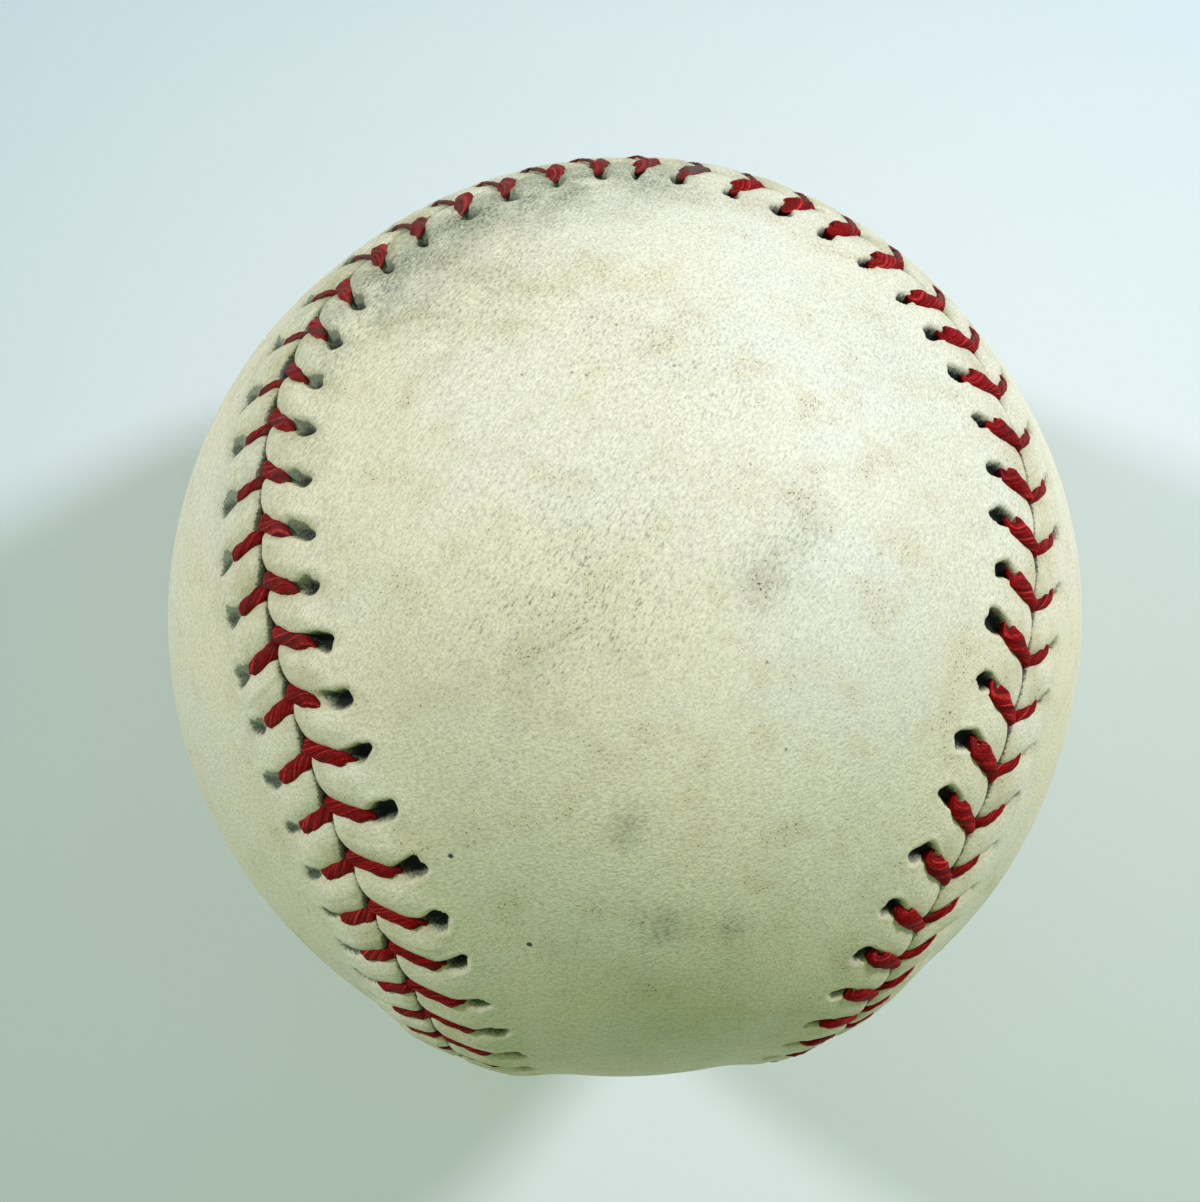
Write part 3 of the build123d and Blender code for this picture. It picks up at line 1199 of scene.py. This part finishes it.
        # The wall down into the seam's channel takes the full groove mark, so it is painted dark as shade.
        dark = {mark: np.full(fine, 1.0 if mark == "groove" else 0.0) for mark in edge_marks}
        wall = add(foot, dark)
        mesh.strip(wall, rings[0])
        under = []
        for offset, radius in self.under_rows:
            slant = self.plan.slant(self.side, np.full(coarse, offset), coarse_along)
            sideways = np.full(coarse, self.side.value * offset)
            under.append(seam.beside(coarse_along + slant, sideways, np.full(coarse, radius)))
        under_rings = [add(points) for points in under]
        mesh.thinned_strip(wall, under_rings[0], self.thinning, True)
        mesh.strips(under_rings, True)
        inside, grids = self.chords(under[-1], self.inner_columns, self.inner_radius)
        mesh.fill(under_rings[-1], add(inside), grids, True)
        shares = {mark: np.concatenate(kept) for mark, kept in marks.items()}
        panel = mesh.piece(self.name, shares, leather)
        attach(panel, BODY)
        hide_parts(self.node)
        return panel


class MeshSheet:
    """Points and faces of a piece that is being made."""

    def __init__(self, turned: bool = False) -> None:
        """Starts empty. Turned sheets have their faces the other way round."""
        self.turned = turned
        self.points: list[np.ndarray] = []
        self.faces: list[tuple[int, ...]] = []
        self.count = 0

    def points_added(self, points: np.ndarray) -> np.ndarray:
        """Adds points and gives their indices."""
        self.points.append(points)
        self.count += len(points)
        return np.arange(self.count - len(points), self.count)

    def face(self, corners: list[int], back: bool = False) -> None:
        """Adds one face, seen from behind if back."""
        order = corners[::-1] if self.turned != back else corners
        self.faces.append(tuple(int(corner) for corner in order))

    def strip(self, ring: np.ndarray, next_ring: np.ndarray) -> None:
        """Closed strip of faces between two rings of the same count."""
        for corners in zip(ring, next_ring, np.roll(next_ring, -1), np.roll(ring, -1)):
            self.face(list(corners))

    def strips(self, rings: list[np.ndarray], back: bool = False) -> None:
        """Closed strips of faces between each ring and the next, seen from behind if back."""
        for ring, next_ring in zip(rings, rings[1:]):
            self.strip(*((next_ring, ring) if back else (ring, next_ring)))

    def thinned_strip(
        self, ring: np.ndarray, thin_ring: np.ndarray, thinning: int, back: bool = False
    ) -> None:
        """Closed strip of faces from a fine ring to one with fewer points.

        Args:
            ring: Indices of the fine ring's points.
            thin_ring: Indices of the other ring's points.
            thinning: How many points of the fine ring go with one of the other.
            back: True for faces seen from behind.
        """
        count = len(ring)
        for place in range(len(thin_ring)):
            first = place * thinning
            here, after = thin_ring[place], thin_ring[(place + 1) % len(thin_ring)]
            middle = first + thinning // 2
            for step in range(first, first + thinning):
                apex = here if step < middle else after
                self.face([ring[step], apex, ring[(step + 1) % count]], back)
            self.face([ring[middle], here, after], back)

    def row(self, line: np.ndarray, next_line: np.ndarray, back: bool) -> None:
        """Faces between two open lines of points."""
        for place in range(len(line) - 1):
            self.face([line[place], line[place + 1], next_line[place + 1], next_line[place]], back)

    def fan(self, line: np.ndarray, tip: int, back: bool) -> None:
        """Faces from an open line to one point."""
        for place in range(len(line) - 1):
            self.face([line[place], line[place + 1], tip], back)

    def fill(self, rim: np.ndarray, new: np.ndarray, grids: np.ndarray, back: bool = False) -> None:
        """Faces inside a closed rim, between the rim's points and new ones.

        Args:
            rim: Indices of the rim's points.
            new: Indices of the points inside it.
            grids: Grid of places in the rim and then in the new points, for each lobe.
            back: True for faces seen from behind.
        """
        places = np.concatenate([rim, new])
        for grid in grids:
            lines = places[grid]
            for line, next_line in zip(lines, lines[1:]):
                self.row(line, next_line, back)
            tip = rim[(grid[-1][0] + 1) % len(rim)]
            self.fan(lines[-1], int(tip), back)

    def piece(self, name: str, marks: dict[str, np.ndarray], finish: bpy.types.Material) -> bpy.types.Object:
        """Makes the Blender object.

        Args:
            name: The piece's name.
            marks: A number for each point, by attribute name.
            finish: Its material.

        Returns:
            The object, smooth shaded.
        """
        mesh = bpy.data.meshes.new(name)
        mesh.from_pydata((np.concatenate(self.points) * MM).tolist(), [], self.faces)
        for mark, values in marks.items():
            keep_numbers(mesh, mark, values)
        mesh.materials.append(finish)
        mesh.shade_smooth()
        mesh.update()
        return linked(name, mesh)


# Geometry Nodes


class Sweep(Graph):
    """A Geometry Nodes tree with named inputs, run once and kept as a plain mesh."""

    def __init__(self, name: str, numbers: tuple[str, ...], counts: tuple[str, ...]) -> None:
        """Starts the tree.

        Args:
            name: The tree's name.
            numbers: Names of the inputs that take a number.
            counts: Names of the inputs that take a whole number.
        """
        super().__init__(bpy.data.node_groups.new(name, "GeometryNodeTree"))
        interface = self.tree.interface
        interface.new_socket(name="Geometry", in_out="INPUT", socket_type="NodeSocketGeometry")
        kinds = {label: "NodeSocketFloat" for label in numbers}
        kinds.update({label: "NodeSocketInt" for label in counts})
        kinds["Material"] = "NodeSocketMaterial"
        self.keys = {}
        for label, kind in kinds.items():
            self.keys[label] = interface.new_socket(name=label, in_out="INPUT", socket_type=kind).identifier
        interface.new_socket(name="Geometry", in_out="OUTPUT", socket_type="NodeSocketGeometry")
        self.start = self.node("NodeGroupInput")

    def given(self, name: str) -> Out:
        """One of the tree's inputs."""
        return self.start.other(name)

    def stored(self, shape: Out, name: str, value: Out) -> Out:
        """The shape with a number kept at each of its points."""
        settings = {"data_type": "FLOAT", "domain": "POINT"}
        sockets = {"Geometry": shape, "Name": name, "Value": value}
        return self.node("GeometryNodeStoreNamedAttribute", settings, sockets)

    def kept(self, name: str, kind: str = "FLOAT") -> Out:
        """A value that the shape already keeps."""
        return self.node("GeometryNodeInputNamedAttribute", {"data_type": kind}, {"Name": name})

    def vector(self, operation: str, first: Out, second: Out) -> Out:
        """One Vector Math node of this operation, where SCALE takes a number second."""
        sockets = {0: first, "Scale" if operation == "SCALE" else 1: second}
        return self.node("ShaderNodeVectorMath", {"operation": operation}, sockets)

    def moved(self, shape: Out, place: str, value: Out) -> Out:
        """The shape with its points at a new Position, or moved by an Offset."""
        return self.node("GeometryNodeSetPosition", {}, {"Geometry": shape, place: value})

    def circle(self, sides: Out | int, radius: Out | float) -> Out:
        """Round profile with a count of sides."""
        sockets = {"Resolution": sides, "Radius": radius}
        return self.node("GeometryNodeCurvePrimitiveCircle", {"mode": "RADIUS"}, sockets)

    def ball(self, radius: Out, detail: int) -> Out:
        """Ball of even faces."""
        return self.node("GeometryNodeMeshIcoSphere", {}, {"Radius": radius, "Subdivisions": detail})

    def ended(self, shape: Out) -> None:
        """Ends the tree with realized instances and the material input."""
        real = self.node("GeometryNodeRealizeInstances", {}, {"Geometry": shape})
        sockets = {"Geometry": real, "Material": self.given("Material")}
        self.node("NodeGroupOutput", {}, {"Geometry": self.node("GeometryNodeSetMaterial", {}, sockets)})

    def run(self, carrier: bpy.types.Object, values: dict[str, object], name: str) -> bpy.types.Object:
        """Runs the tree on an object and keeps the result.

        Args:
            carrier: The object that holds the tree's start, removed afterwards.
            values: Values by input name.
            name: Name of the piece.

        Returns:
            The piece, a plain mesh.
        """
        modifier = carrier.modifiers.new(name, "NODES")
        modifier.node_group = self.tree
        for label, value in values.items():
            modifier[self.keys[label]] = value
        graph = bpy.context.evaluated_depsgraph_get()
        mesh = bpy.data.meshes.new_from_object(carrier.evaluated_get(graph), depsgraph=graph)
        carrier.modifiers.remove(modifier)
        bpy.data.objects.remove(carrier)
        mesh.name = name
        mesh.shade_smooth()
        return linked(name, mesh)


# Thread


@dataclass(frozen=True)
class RoutePoint:
    """A point of a stitch's route, near its hole or near its dive into the seam.

    Attributes:
        ahead: How far ahead of the hole it is, in millimetres near the hole and in leads near the dive.
        width: Width from where the stitch comes up near the hole, and from the seam near the dive.
        over: True if its rise counts from the thread over the leather, not from the thread under it.
        rise: Height above that thread.
        girth: Thickness as a share of the thread's own.
        tight_width, tight_rise, tight_girth: What is added where the stitch was sewn tight.
    """

    ahead: float
    width: float
    over: bool
    rise: float
    girth: float
    tight_width: float = 0.0
    tight_rise: float = 0.0
    tight_girth: float = 0.0


@dataclass
class SeamThread:
    """The one thread that sews both panels together, in from one end and out at the other."""

    seam: SeamCurve
    plan: StitchPlan
    panels: dict[Side, CoverPanel]
    width: float = 1.18
    thickness: float = 0.64
    rising: tuple[RoutePoint, ...] = (
        RoutePoint(0.0, -0.55, False, 0.0, 0.6, 0.20, -0.2),
        RoutePoint(0.0, -0.35, False, 0.4, 0.65, 0.25, 0.0, 0.25),
        RoutePoint(0.02, 0.05, True, -0.36, 0.76, 0.25, 0.16, 0.50),
    )
    diving: tuple[RoutePoint, ...] = (
        RoutePoint(0.88, 0.45, True, 0.02, 1.12, tight_girth=-0.3),
        RoutePoint(1.02, 0.08, True, -0.22, 0.95, tight_girth=-0.25),
        RoutePoint(1.10, 0.0, False, 0.45, 0.7),
        RoutePoint(1.14, -0.2, False, 0.0, 0.6),
    )
    # Share of the way out to the hole, with the girth if loose, if tight, and if askew on the second panel
    girths: tuple[tuple[float, float, float, float], ...] = (
        (1.0, 0.94, 1.26, 0.45), (0.75, 1.03, 1.26, 0.70), (0.5, 1.06, 1.18, 0.84), (0.25, 1.06, 1.06, 0.88),
        (0.0, 1.06, 0.90, 0.84),
    )
    seam_margin: float = 0.95
    hole_margin: float = 0.40
    slope: float = 0.02
    second_sink: float = 0.16
    soil_thinning: float = 0.15
    ply_depth: float = 0.05
    plies: int = 3
    twist_length: float = 5.2
    wobble: float = 0.05
    step: float = 0.34
    around: int = 11
    seat: float = 0.16
    under_radius: float = 36.55
    tail_share: float = 0.4
    tail_spread: float = 9.0
    seed: int = 7

    def stitch_route(self, index: int, side: Side) -> list[tuple[float, float, float, float]]:
        """Route of one stitch: up through its hole, over the edge and down into the seam.

        Args:
            index: The stitch's number.
            side: The panel that it shows on.

        Returns:
            Length along the seam, width, radius and girth of each point.
        """
        panel, plan = self.panels[side], self.plan
        hole = plan.hole(side, index)
        skew = float(plan.skew(np.array(hole)))
        tight = skew if side is Side.FIRST else 0.0
        far = plan.emerge(side, index)
        flat = float(plan.flat(index + 1))
        slim = float(plan.read(plan.slimness, side, index + 1))
        lip = panel.lip_height * (1 - plan.flat_lip * flat)
        lip = lip - panel.valley_depth * (1 - plan.flat_valley * flat)
        lift = self.seam.ball_radius + lip + self.seat
        ahead = float(plan.lead(side, np.array(hole)))
        sign = side.value
        route = []
        for point in self.rising:
            width = far + point.width + point.tight_width * tight
            height = (lift if point.over else self.under_radius) + point.rise + point.tight_rise * tight
            route.append((hole + point.ahead, sign * width, height, point.girth + point.tight_girth * tight))
        for share, loose_girth, first_girth, second_girth in self.girths:
            width = self.seam_margin + share * (far - self.seam_margin - self.hole_margin)
            slant = float(plan.slant(side, np.array(width), np.array(hole)))
            tight_girth = first_girth if side is Side.FIRST else second_girth
            girth = loose_girth + (tight_girth - loose_girth) * skew
            girth = girth * (1 - self.soil_thinning * plan.soil(side, index))
            route.append((hole + slant, sign * width, lift + self.slope * width, girth * slim))
        dive_lift = lift if side is Side.FIRST else lift - self.second_sink
        for point in self.diving:
            height = (dive_lift if point.over else self.under_radius) + point.rise
            girth = point.girth + point.tight_girth * skew
            girth = girth * min(slim, 1.0) if point.over else girth
            route.append((hole + point.ahead * ahead, sign * point.width, height, girth))
        return route

    def half_route(self, side: Side) -> list[tuple[float, ...]]:
        """Route of the half of the thread that starts on one panel and changes panels at every stitch.

        Args:
            side: Where the first stitch shows.

        Returns:
            Length along the seam, width, radius, girth, soil and stitch number of each point.
        """
        route = []
        for index in range(self.seam.stitch_count):
            shown = side if index % 2 == 0 else Side(-side.value)
            number = 2 * index + (0 if shown is Side.FIRST else 1)
            soil = self.plan.soil(shown, index)
            route += [(*point, soil, number) for point in self.stitch_route(index, shown)]
        return route

    def whole_route(self) -> list[tuple[float, ...]]:
        """Route from one hidden tail, along the whole seam, to the other tail."""
        one, two = self.half_route(Side.FIRST), self.half_route(Side.SECOND)
        tails = []
        for half in (one, two):
            along, sideways, *others = half[-1]
            tails.append((along + self.tail_share * self.seam.pitch, sideways * self.tail_spread, *others))
        return [tails[0], *one[::-1], *two, tails[1]]

    def carrier(self) -> bpy.types.Object:
        """Line along the route, which keeps its points' outward directions, girths and stitch numbers.

        Returns:
            The line's object.
        """
        route = np.array(self.whole_route())
        points = self.seam.beside(route[:, 0], route[:, 1], route[:, 2])
        outward = points / np.linalg.norm(points, axis=1)[:, None]
        mesh = bpy.data.meshes.new("thread_route")
        edges = [(place, place + 1) for place in range(len(points) - 1)]
        mesh.from_pydata((points * MM).tolist(), edges, [])
        kept = mesh.attributes.new("outward", "FLOAT_VECTOR", "POINT")
        kept.data.foreach_set("vector", outward.astype(np.float32).ravel())
        for name, values in zip(("girth", "soil", "stitch"), route.T[3:]):
            keep_numbers(mesh, name, values)
        return linked("thread_route", mesh)

    def tree(self) -> Sweep:
        """Tree that lays twisted plies along the route.

        Returns:
            The tree.
        """
        sweep = Sweep(
            "thread_sweep",
            numbers=("Width", "Thickness", "Ply Depth", "Plies", "Twist Length", "Wobble", "Step"),
            counts=("Around", "Seed"),
        )
        line = sweep.node("GeometryNodeMeshToCurve", {}, {"Mesh": sweep.start})
        smooth = sweep.node("GeometryNodeCurveSplineType", {"spline_type": "CATMULL_ROM"}, {"Curve": line})
        spacing = {"Curve": smooth, "Length": sweep.given("Step")}
        even = sweep.node("GeometryNodeResampleCurve", {"mode": "LENGTH"}, spacing)
        stitch = sweep.node("FunctionNodeFloatToInt", {}, {"Float": sweep.kept("stitch")})
        limits = {"Min": (-1.0, -1.0, -1.0), "Max": (1.0, 1.0, 1.0)}
        limits.update({"ID": stitch, "Seed": sweep.given("Seed")})
        shake = sweep.node("FunctionNodeRandomValue", {"data_type": "FLOAT_VECTOR"}, limits)
        shaken = sweep.moved(even, "Offset", sweep.vector("SCALE", shake, sweep.given("Wobble")))
        length = sweep.node("GeometryNodeSplineParameter").other("Length")
        marked = sweep.stored(shaken, "run", length)
        facing = {"Curve": marked, "Normal": sweep.kept("outward", "FLOAT_VECTOR")}
        laid = sweep.node("GeometryNodeSetCurveNormal", {"mode": "FREE"}, facing)

        ring = sweep.circle(sweep.given("Around"), 1.0)
        position = sweep.node("GeometryNodeInputPosition")
        place = sweep.node("ShaderNodeSeparateXYZ", {}, {"Vector": position})
        ring = sweep.stored(ring, "round_x", place)
        ring = sweep.stored(ring, "round_y", place.other("Y"))
        halves = {"X": sweep.given("Thickness") * 0.5, "Y": sweep.given("Width") * 0.5, "Z": 1.0}
        flat = sweep.vector("MULTIPLY", position, sweep.node("ShaderNodeCombineXYZ", {}, halves))
        profile = sweep.moved(ring, "Position", flat)
        parts = {"Curve": laid, "Profile Curve": profile, "Scale": sweep.kept("girth"), "Fill Caps": True}
        tube = sweep.node("GeometryNodeCurveToMesh", {}, parts)

        round_x, round_y = sweep.kept("round_x"), sweep.kept("round_y")
        fibre = round_y.maths("ARCTAN2", round_y, round_x)
        fibre = fibre + sweep.kept("run") / sweep.given("Twist Length") * (2 * pi)
        plied = sweep.stored(tube, "fibre_x", (fibre + pi / 2).sine())
        plied = sweep.stored(plied, "fibre_y", fibre.sine())
        plied = sweep.stored(plied, "ply", (fibre * sweep.given("Plies")).sine())
        normal = sweep.node("GeometryNodeInputNormal")
        swell = sweep.vector("SCALE", normal, sweep.kept("ply") * sweep.given("Ply Depth"))
        sweep.ended(sweep.moved(plied, "Offset", swell))
        return sweep

    def build(self, wax: bpy.types.Material) -> bpy.types.Object:
        """Builds the thread.

        Args:
            wax: Its finish.

        Returns:
            The thread.
        """
        values = {
            "Width": self.width * MM, "Thickness": self.thickness * MM, "Ply Depth": self.ply_depth * MM,
            "Plies": float(self.plies), "Twist Length": self.twist_length * MM, "Wobble": self.wobble * MM,
            "Step": self.step * MM, "Around": self.around, "Seed": self.seed, "Material": wax,
        }
        thread = self.tree().run(self.carrier(), values, "sewn_seam_thread")
        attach(thread, BODY)
        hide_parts("seam_thread")
        return thread


# Windings


@dataclass
class Winding:
    """One layer of yarn, wound over and over round the ball."""

    name: str
    node: str
    slot: str
    inner_radius: float
    outer_radius: float
    yarn_diameter: float
    turns: int
    tilt_turns: float
    swing_turns: float
    yarn: Yarn
    points_per_turn: int = 44
    yarn_sides: ClassVar[int] = 6
    core_sink: ClassVar[float] = 0.6
    core_detail: ClassVar[int] = 5
    lining_detail: ClassVar[int] = 4

    @classmethod
    def tree(cls) -> Sweep:
        """Tree that winds yarn over a hollow ball.

        Returns:
            The tree.
        """
        wind = Sweep(
            "yarn_winding",
            numbers=("Inner Radius", "Outer Radius", "Yarn Diameter", "Tilt Turns", "Swing Turns"),
            counts=("Turns", "Points Per Turn"),
        )
        count = wind.given("Turns") * wind.given("Points Per Turn")
        line = wind.node("GeometryNodeMeshLine", {}, {"Count": count})
        share = wind.node("GeometryNodeInputIndex") / count
        lap = share * wind.given("Turns") * (2 * pi)
        radius = wind.given("Outer Radius") - wind.given("Yarn Diameter") * 0.5
        lapped = {"X": (lap + pi / 2).sine() * radius, "Y": lap.sine() * radius, "Z": 0.0}
        place = wind.node("ShaderNodeCombineXYZ", {}, lapped)
        for axis, turns in (("X_AXIS", "Tilt Turns"), ("Z_AXIS", "Swing Turns")):
            turned = {"Vector": place, "Angle": share * wind.given(turns) * (2 * pi)}
            place = wind.node("ShaderNodeVectorRotate", {"rotation_type": axis}, turned)
        path = wind.node("GeometryNodeMeshToCurve", {}, {"Mesh": wind.moved(line, "Position", place)})
        ring = wind.circle(cls.yarn_sides, wind.given("Yarn Diameter") * 0.5)
        parts = {"Curve": path, "Profile Curve": ring, "Fill Caps": True}
        yarn = wind.node("GeometryNodeCurveToMesh", {}, parts)
        outside = wind.given("Outer Radius") - wind.given("Yarn Diameter") * cls.core_sink
        core = wind.ball(outside, cls.core_detail)
        hollow = wind.ball(wind.given("Inner Radius"), cls.lining_detail)
        lining = wind.node("GeometryNodeFlipFaces", {}, {"Mesh": hollow})
        joined = wind.node("GeometryNodeJoinGeometry", {}, {"Geometry": yarn})
        for part in (core, lining):
            wind.tree.links.new(part.socket, joined.socket.node.inputs[0])
        wind.ended(joined)
        return wind

    def build(self, tree: Sweep) -> bpy.types.Object:
        """Builds the winding.

        Args:
            tree: The winding tree, shared by all layers.

        Returns:
            The winding.
        """
        carrier = linked("winding_start", bpy.data.meshes.new("winding_start"))
        values = {
            "Inner Radius": self.inner_radius * MM, "Outer Radius": self.outer_radius * MM,
            "Yarn Diameter": self.yarn_diameter * MM, "Turns": self.turns,
            "Points Per Turn": self.points_per_turn, "Tilt Turns": self.tilt_turns,
            "Swing Turns": self.swing_turns, "Material": self.yarn.material(),
        }
        wound = tree.run(carrier, values, self.name)
        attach(wound, BODY)
        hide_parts(self.node)
        return wound


# Pill


@dataclass
class Pill:
    """Cork core, rubber half shells, gasket and jacket, whose solids stay as they are."""

    def dress(self, nodes: dict[str, bpy.types.Object]) -> None:
        """Gives each solid its finish.

        Args:
            nodes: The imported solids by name.
        """
        black = Rubber("black_rubber", srgb(30, 29, 29), srgb(92, 88, 84)).material()
        red = Rubber("red_rubber", srgb(140, 42, 36), srgb(186, 120, 108)).material()
        finishes = {
            "cork_core": CorkGranules().material(),
            "black_half_shell_upper": black,
            "black_half_shell_lower": black,
            "sealing_gasket": red,
            "red_rubber_jacket": red,
        }
        for name, finish in finishes.items():
            mesh = nodes[name].data
            mesh.materials.clear()
            mesh.materials.append(finish)
            log.info("%s dressed in %s", name, finish.name)


# Studio


@dataclass(frozen=True)
class Lamp:
    """A soft lamp: its turn from +Y towards +X, its rise, its distance, its power and its colour."""

    name: str
    turn: float
    rise: float
    distance: float
    power: float
    colour: Triple


@dataclass
class Studio:
    """Camera, floor and two soft lamps."""

    ball_radius: float = 37.25
    camera_place: Triple = (-12.256, 11.504, 151.394)
    camera_right: Triple = (0.99737, -0.02136, 0.06932)
    camera_down: Triple = (-0.02582, -0.99761, 0.06407)
    lens: float = 54.36
    sensor_width: float = 36.0
    clip: Pair = (0.005, 20.0)
    floor_half: float = 1500.0
    floor_colour: Colour = srgb(240, 242, 235)
    # floor_dim, its reach and floor_bright paint a pool of light on the floor: floor_colour round
    # floor_bright, dimming to floor_dim further off.
    floor_dim: Colour = srgb(193, 204, 205)
    floor_dim_reach: float = 170.0
    floor_bright: Pair = (25.0, -70.0)
    floor_fade: Pair = (185.0, 400.0)
    lamp_size: float = 60.0
    lamps_hung: tuple[Lamp, ...] = (
        Lamp("lamp_left", -60.0, 33.0, 500.0, 1.14, (1.02, 1.0, 1.32)),
        Lamp("lamp_right", 54.0, 34.0, 380.0, 0.99, (1.0, 1.0, 1.30)),
    )
    sky_colour: Colour = (0.222, 0.345, 0.185, 1.0)

    def camera(self) -> None:
        """Sets the camera where the photograph was taken."""
        right, down = Vector(self.camera_right), Vector(self.camera_down)
        back = right.cross(-down)
        turn = Matrix((right, -down, back)).transposed().to_4x4()
        data = bpy.data.cameras.new("camera")
        data.lens, data.sensor_width, data.sensor_fit = self.lens, self.sensor_width, "HORIZONTAL"
        data.clip_start, data.clip_end = self.clip
        made = linked("camera", data)
        made.matrix_world = Matrix.Translation(Vector(self.camera_place) * MM) @ turn
        bpy.context.scene.camera = made

    def floor(self) -> None:
        """Lays the pale floor, painted with a pool of light round floor_bright, which is clear when seen
        from below.
        """
        sheet = MeshSheet()
        half, low = self.floor_half, -self.ball_radius
        corners = np.array([(-half, -half, low), (half, -half, low), (half, half, low), (-half, half, low)])
        sheet.face(list(sheet.points_added(corners)))
        paint = Paint("floor_paper")
        # Painted pool of light: the colour dims with distance from floor_bright.
        bright = (self.floor_bright[0] * MM, self.floor_bright[1] * MM, -self.ball_radius * MM)
        away = paint.node("ShaderNodeVectorMath", {"operation": "DISTANCE"}, {0: paint.place, 1: bright})
        share = (away.other("Value") / (self.floor_dim_reach * MM)) ** 2
        colour = paint.blend(share, self.floor_colour, self.floor_dim)
        sockets = {"Base Color": colour, "Roughness": 0.7, "Specular IOR Level": 0.2}
        paper = paint.node("ShaderNodeBsdfPrincipled", {}, sockets)
        far = away.other("Value").rise(*[reach * MM for reach in self.floor_fade])
        camera_ray = paint.node("ShaderNodeLightPath")
        backdrop = paint.node("ShaderNodeEmission", {}, {"Color": self.floor_colour, "Strength": 1.0})
        paper = paint.node("ShaderNodeMixShader", {}, {0: far * camera_ray, 1: paper, 2: backdrop})
        clear = paint.node("ShaderNodeBsdfTransparent")
        behind = paint.node("ShaderNodeNewGeometry").other("Backfacing")
        seen = paint.node("ShaderNodeMixShader", {}, {0: behind, 1: paper, 2: clear})
        paint.node("ShaderNodeOutputMaterial", {}, {"Surface": seen})
        sheet.piece("floor", {}, paint.material)

    def lamps(self) -> None:
        """Hangs the two soft lamps and sets the sky."""
        for lamp in self.lamps_hung:
            across, rise = radians(lamp.turn), radians(lamp.rise)
            towards = Vector((sin(across) * cos(rise), cos(across) * cos(rise), sin(rise)))
            data = bpy.data.lights.new(lamp.name, "AREA")
            data.shape, data.size, data.energy = "DISK", self.lamp_size * MM, lamp.power
            data.color = lamp.colour
            made = linked(lamp.name, data)
            made.location = towards * lamp.distance * MM
            made.rotation_euler = towards.to_track_quat("Z", "Y").to_euler()
        world = bpy.data.worlds.new("soft_sky")
        world.use_nodes = True
        graph = Graph(world.node_tree)
        graph.tree.nodes.clear()
        path = graph.node("ShaderNodeLightPath")
        seen = path.other("Is Camera Ray").most(path.other("Is Glossy Ray"))
        seen = seen.most(path.other("Is Transmission Ray"))
        light = graph.node("ShaderNodeBackground", {}, {"Color": self.sky_colour, "Strength": 1.0})
        shown = graph.node("ShaderNodeBackground", {}, {"Color": self.floor_colour, "Strength": 1.0})
        mixed = graph.node("ShaderNodeMixShader", {}, {0: seen, 1: light, 2: shown})
        graph.node("ShaderNodeOutputWorld", {}, {"Surface": mixed})
        bpy.context.scene.world = world
        bpy.context.scene.view_settings.view_transform = "Standard"


def report(piece: bpy.types.Object) -> None:
    """Logs a piece's name and its count of faces."""
    log.info("%s: %d faces", piece.name, len(piece.data.polygons))


def main() -> None:
    """Builds the ball from its cover to its pill, and the studio round it."""
    logging.basicConfig(level=logging.INFO, format="%(name)s: %(message)s")
    studio = Studio()
    studio.camera()
    studio.floor()
    studio.lamps()

    seam = SeamCurve()
    plan = StitchPlan(seam)
    leather = CoverLeather().material()
    panels = {
        Side.FIRST: CoverPanel(seam, plan, Side.FIRST, "leather_panel_first", "cover_panel_first"),
        Side.SECOND: CoverPanel(
            seam, plan, Side.SECOND, "leather_panel_second", "cover_panel_second",
            edge_gap=0.06, groove_width=0.6, hole_tight=0.4,
        ),
    }
    for panel in panels.values():
        report(panel.build(leather))
    report(SeamThread(seam, plan, panels).build(SeamThreadWax().material()))

    gray = Yarn("gray_wool", srgb(104, 102, 98), srgb(158, 156, 150), 0.12)
    white = Yarn("white_wool", srgb(196, 192, 180), srgb(232, 229, 218), 0.12)
    cotton = Yarn("white_cotton", srgb(206, 201, 186), srgb(238, 234, 222), 0.08)
    tree = Winding.tree()
    windings = (
        Winding(
            "wool_winding_first", "first_wool_winding", "gray_wool",
            16.8, 31.3, yarn_diameter=1.3, turns=96, tilt_turns=11.37, swing_turns=7.61, yarn=gray,
        ),
        Winding(
            "wool_winding_second", "second_wool_winding", "white_wool",
            31.45, 33.1, yarn_diameter=0.8, turns=120, tilt_turns=13.29, swing_turns=8.83, yarn=white,
        ),
        Winding(
            "wool_winding_third", "third_wool_winding", "gray_wool",
            33.25, 35.35, yarn_diameter=0.9, turns=120, tilt_turns=12.71, swing_turns=9.37, yarn=gray,
        ),
        Winding(
            "cotton_winding", "cotton_finish_winding", "white_cotton",
            35.5, 35.9, yarn_diameter=0.3, turns=150, tilt_turns=14.83, swing_turns=10.19, yarn=cotton,
        ),
    )
    for winding in windings:
        report(winding.build(tree))
    Pill().dress(frame["nodes"])


if __name__ == "__main__":
    main()
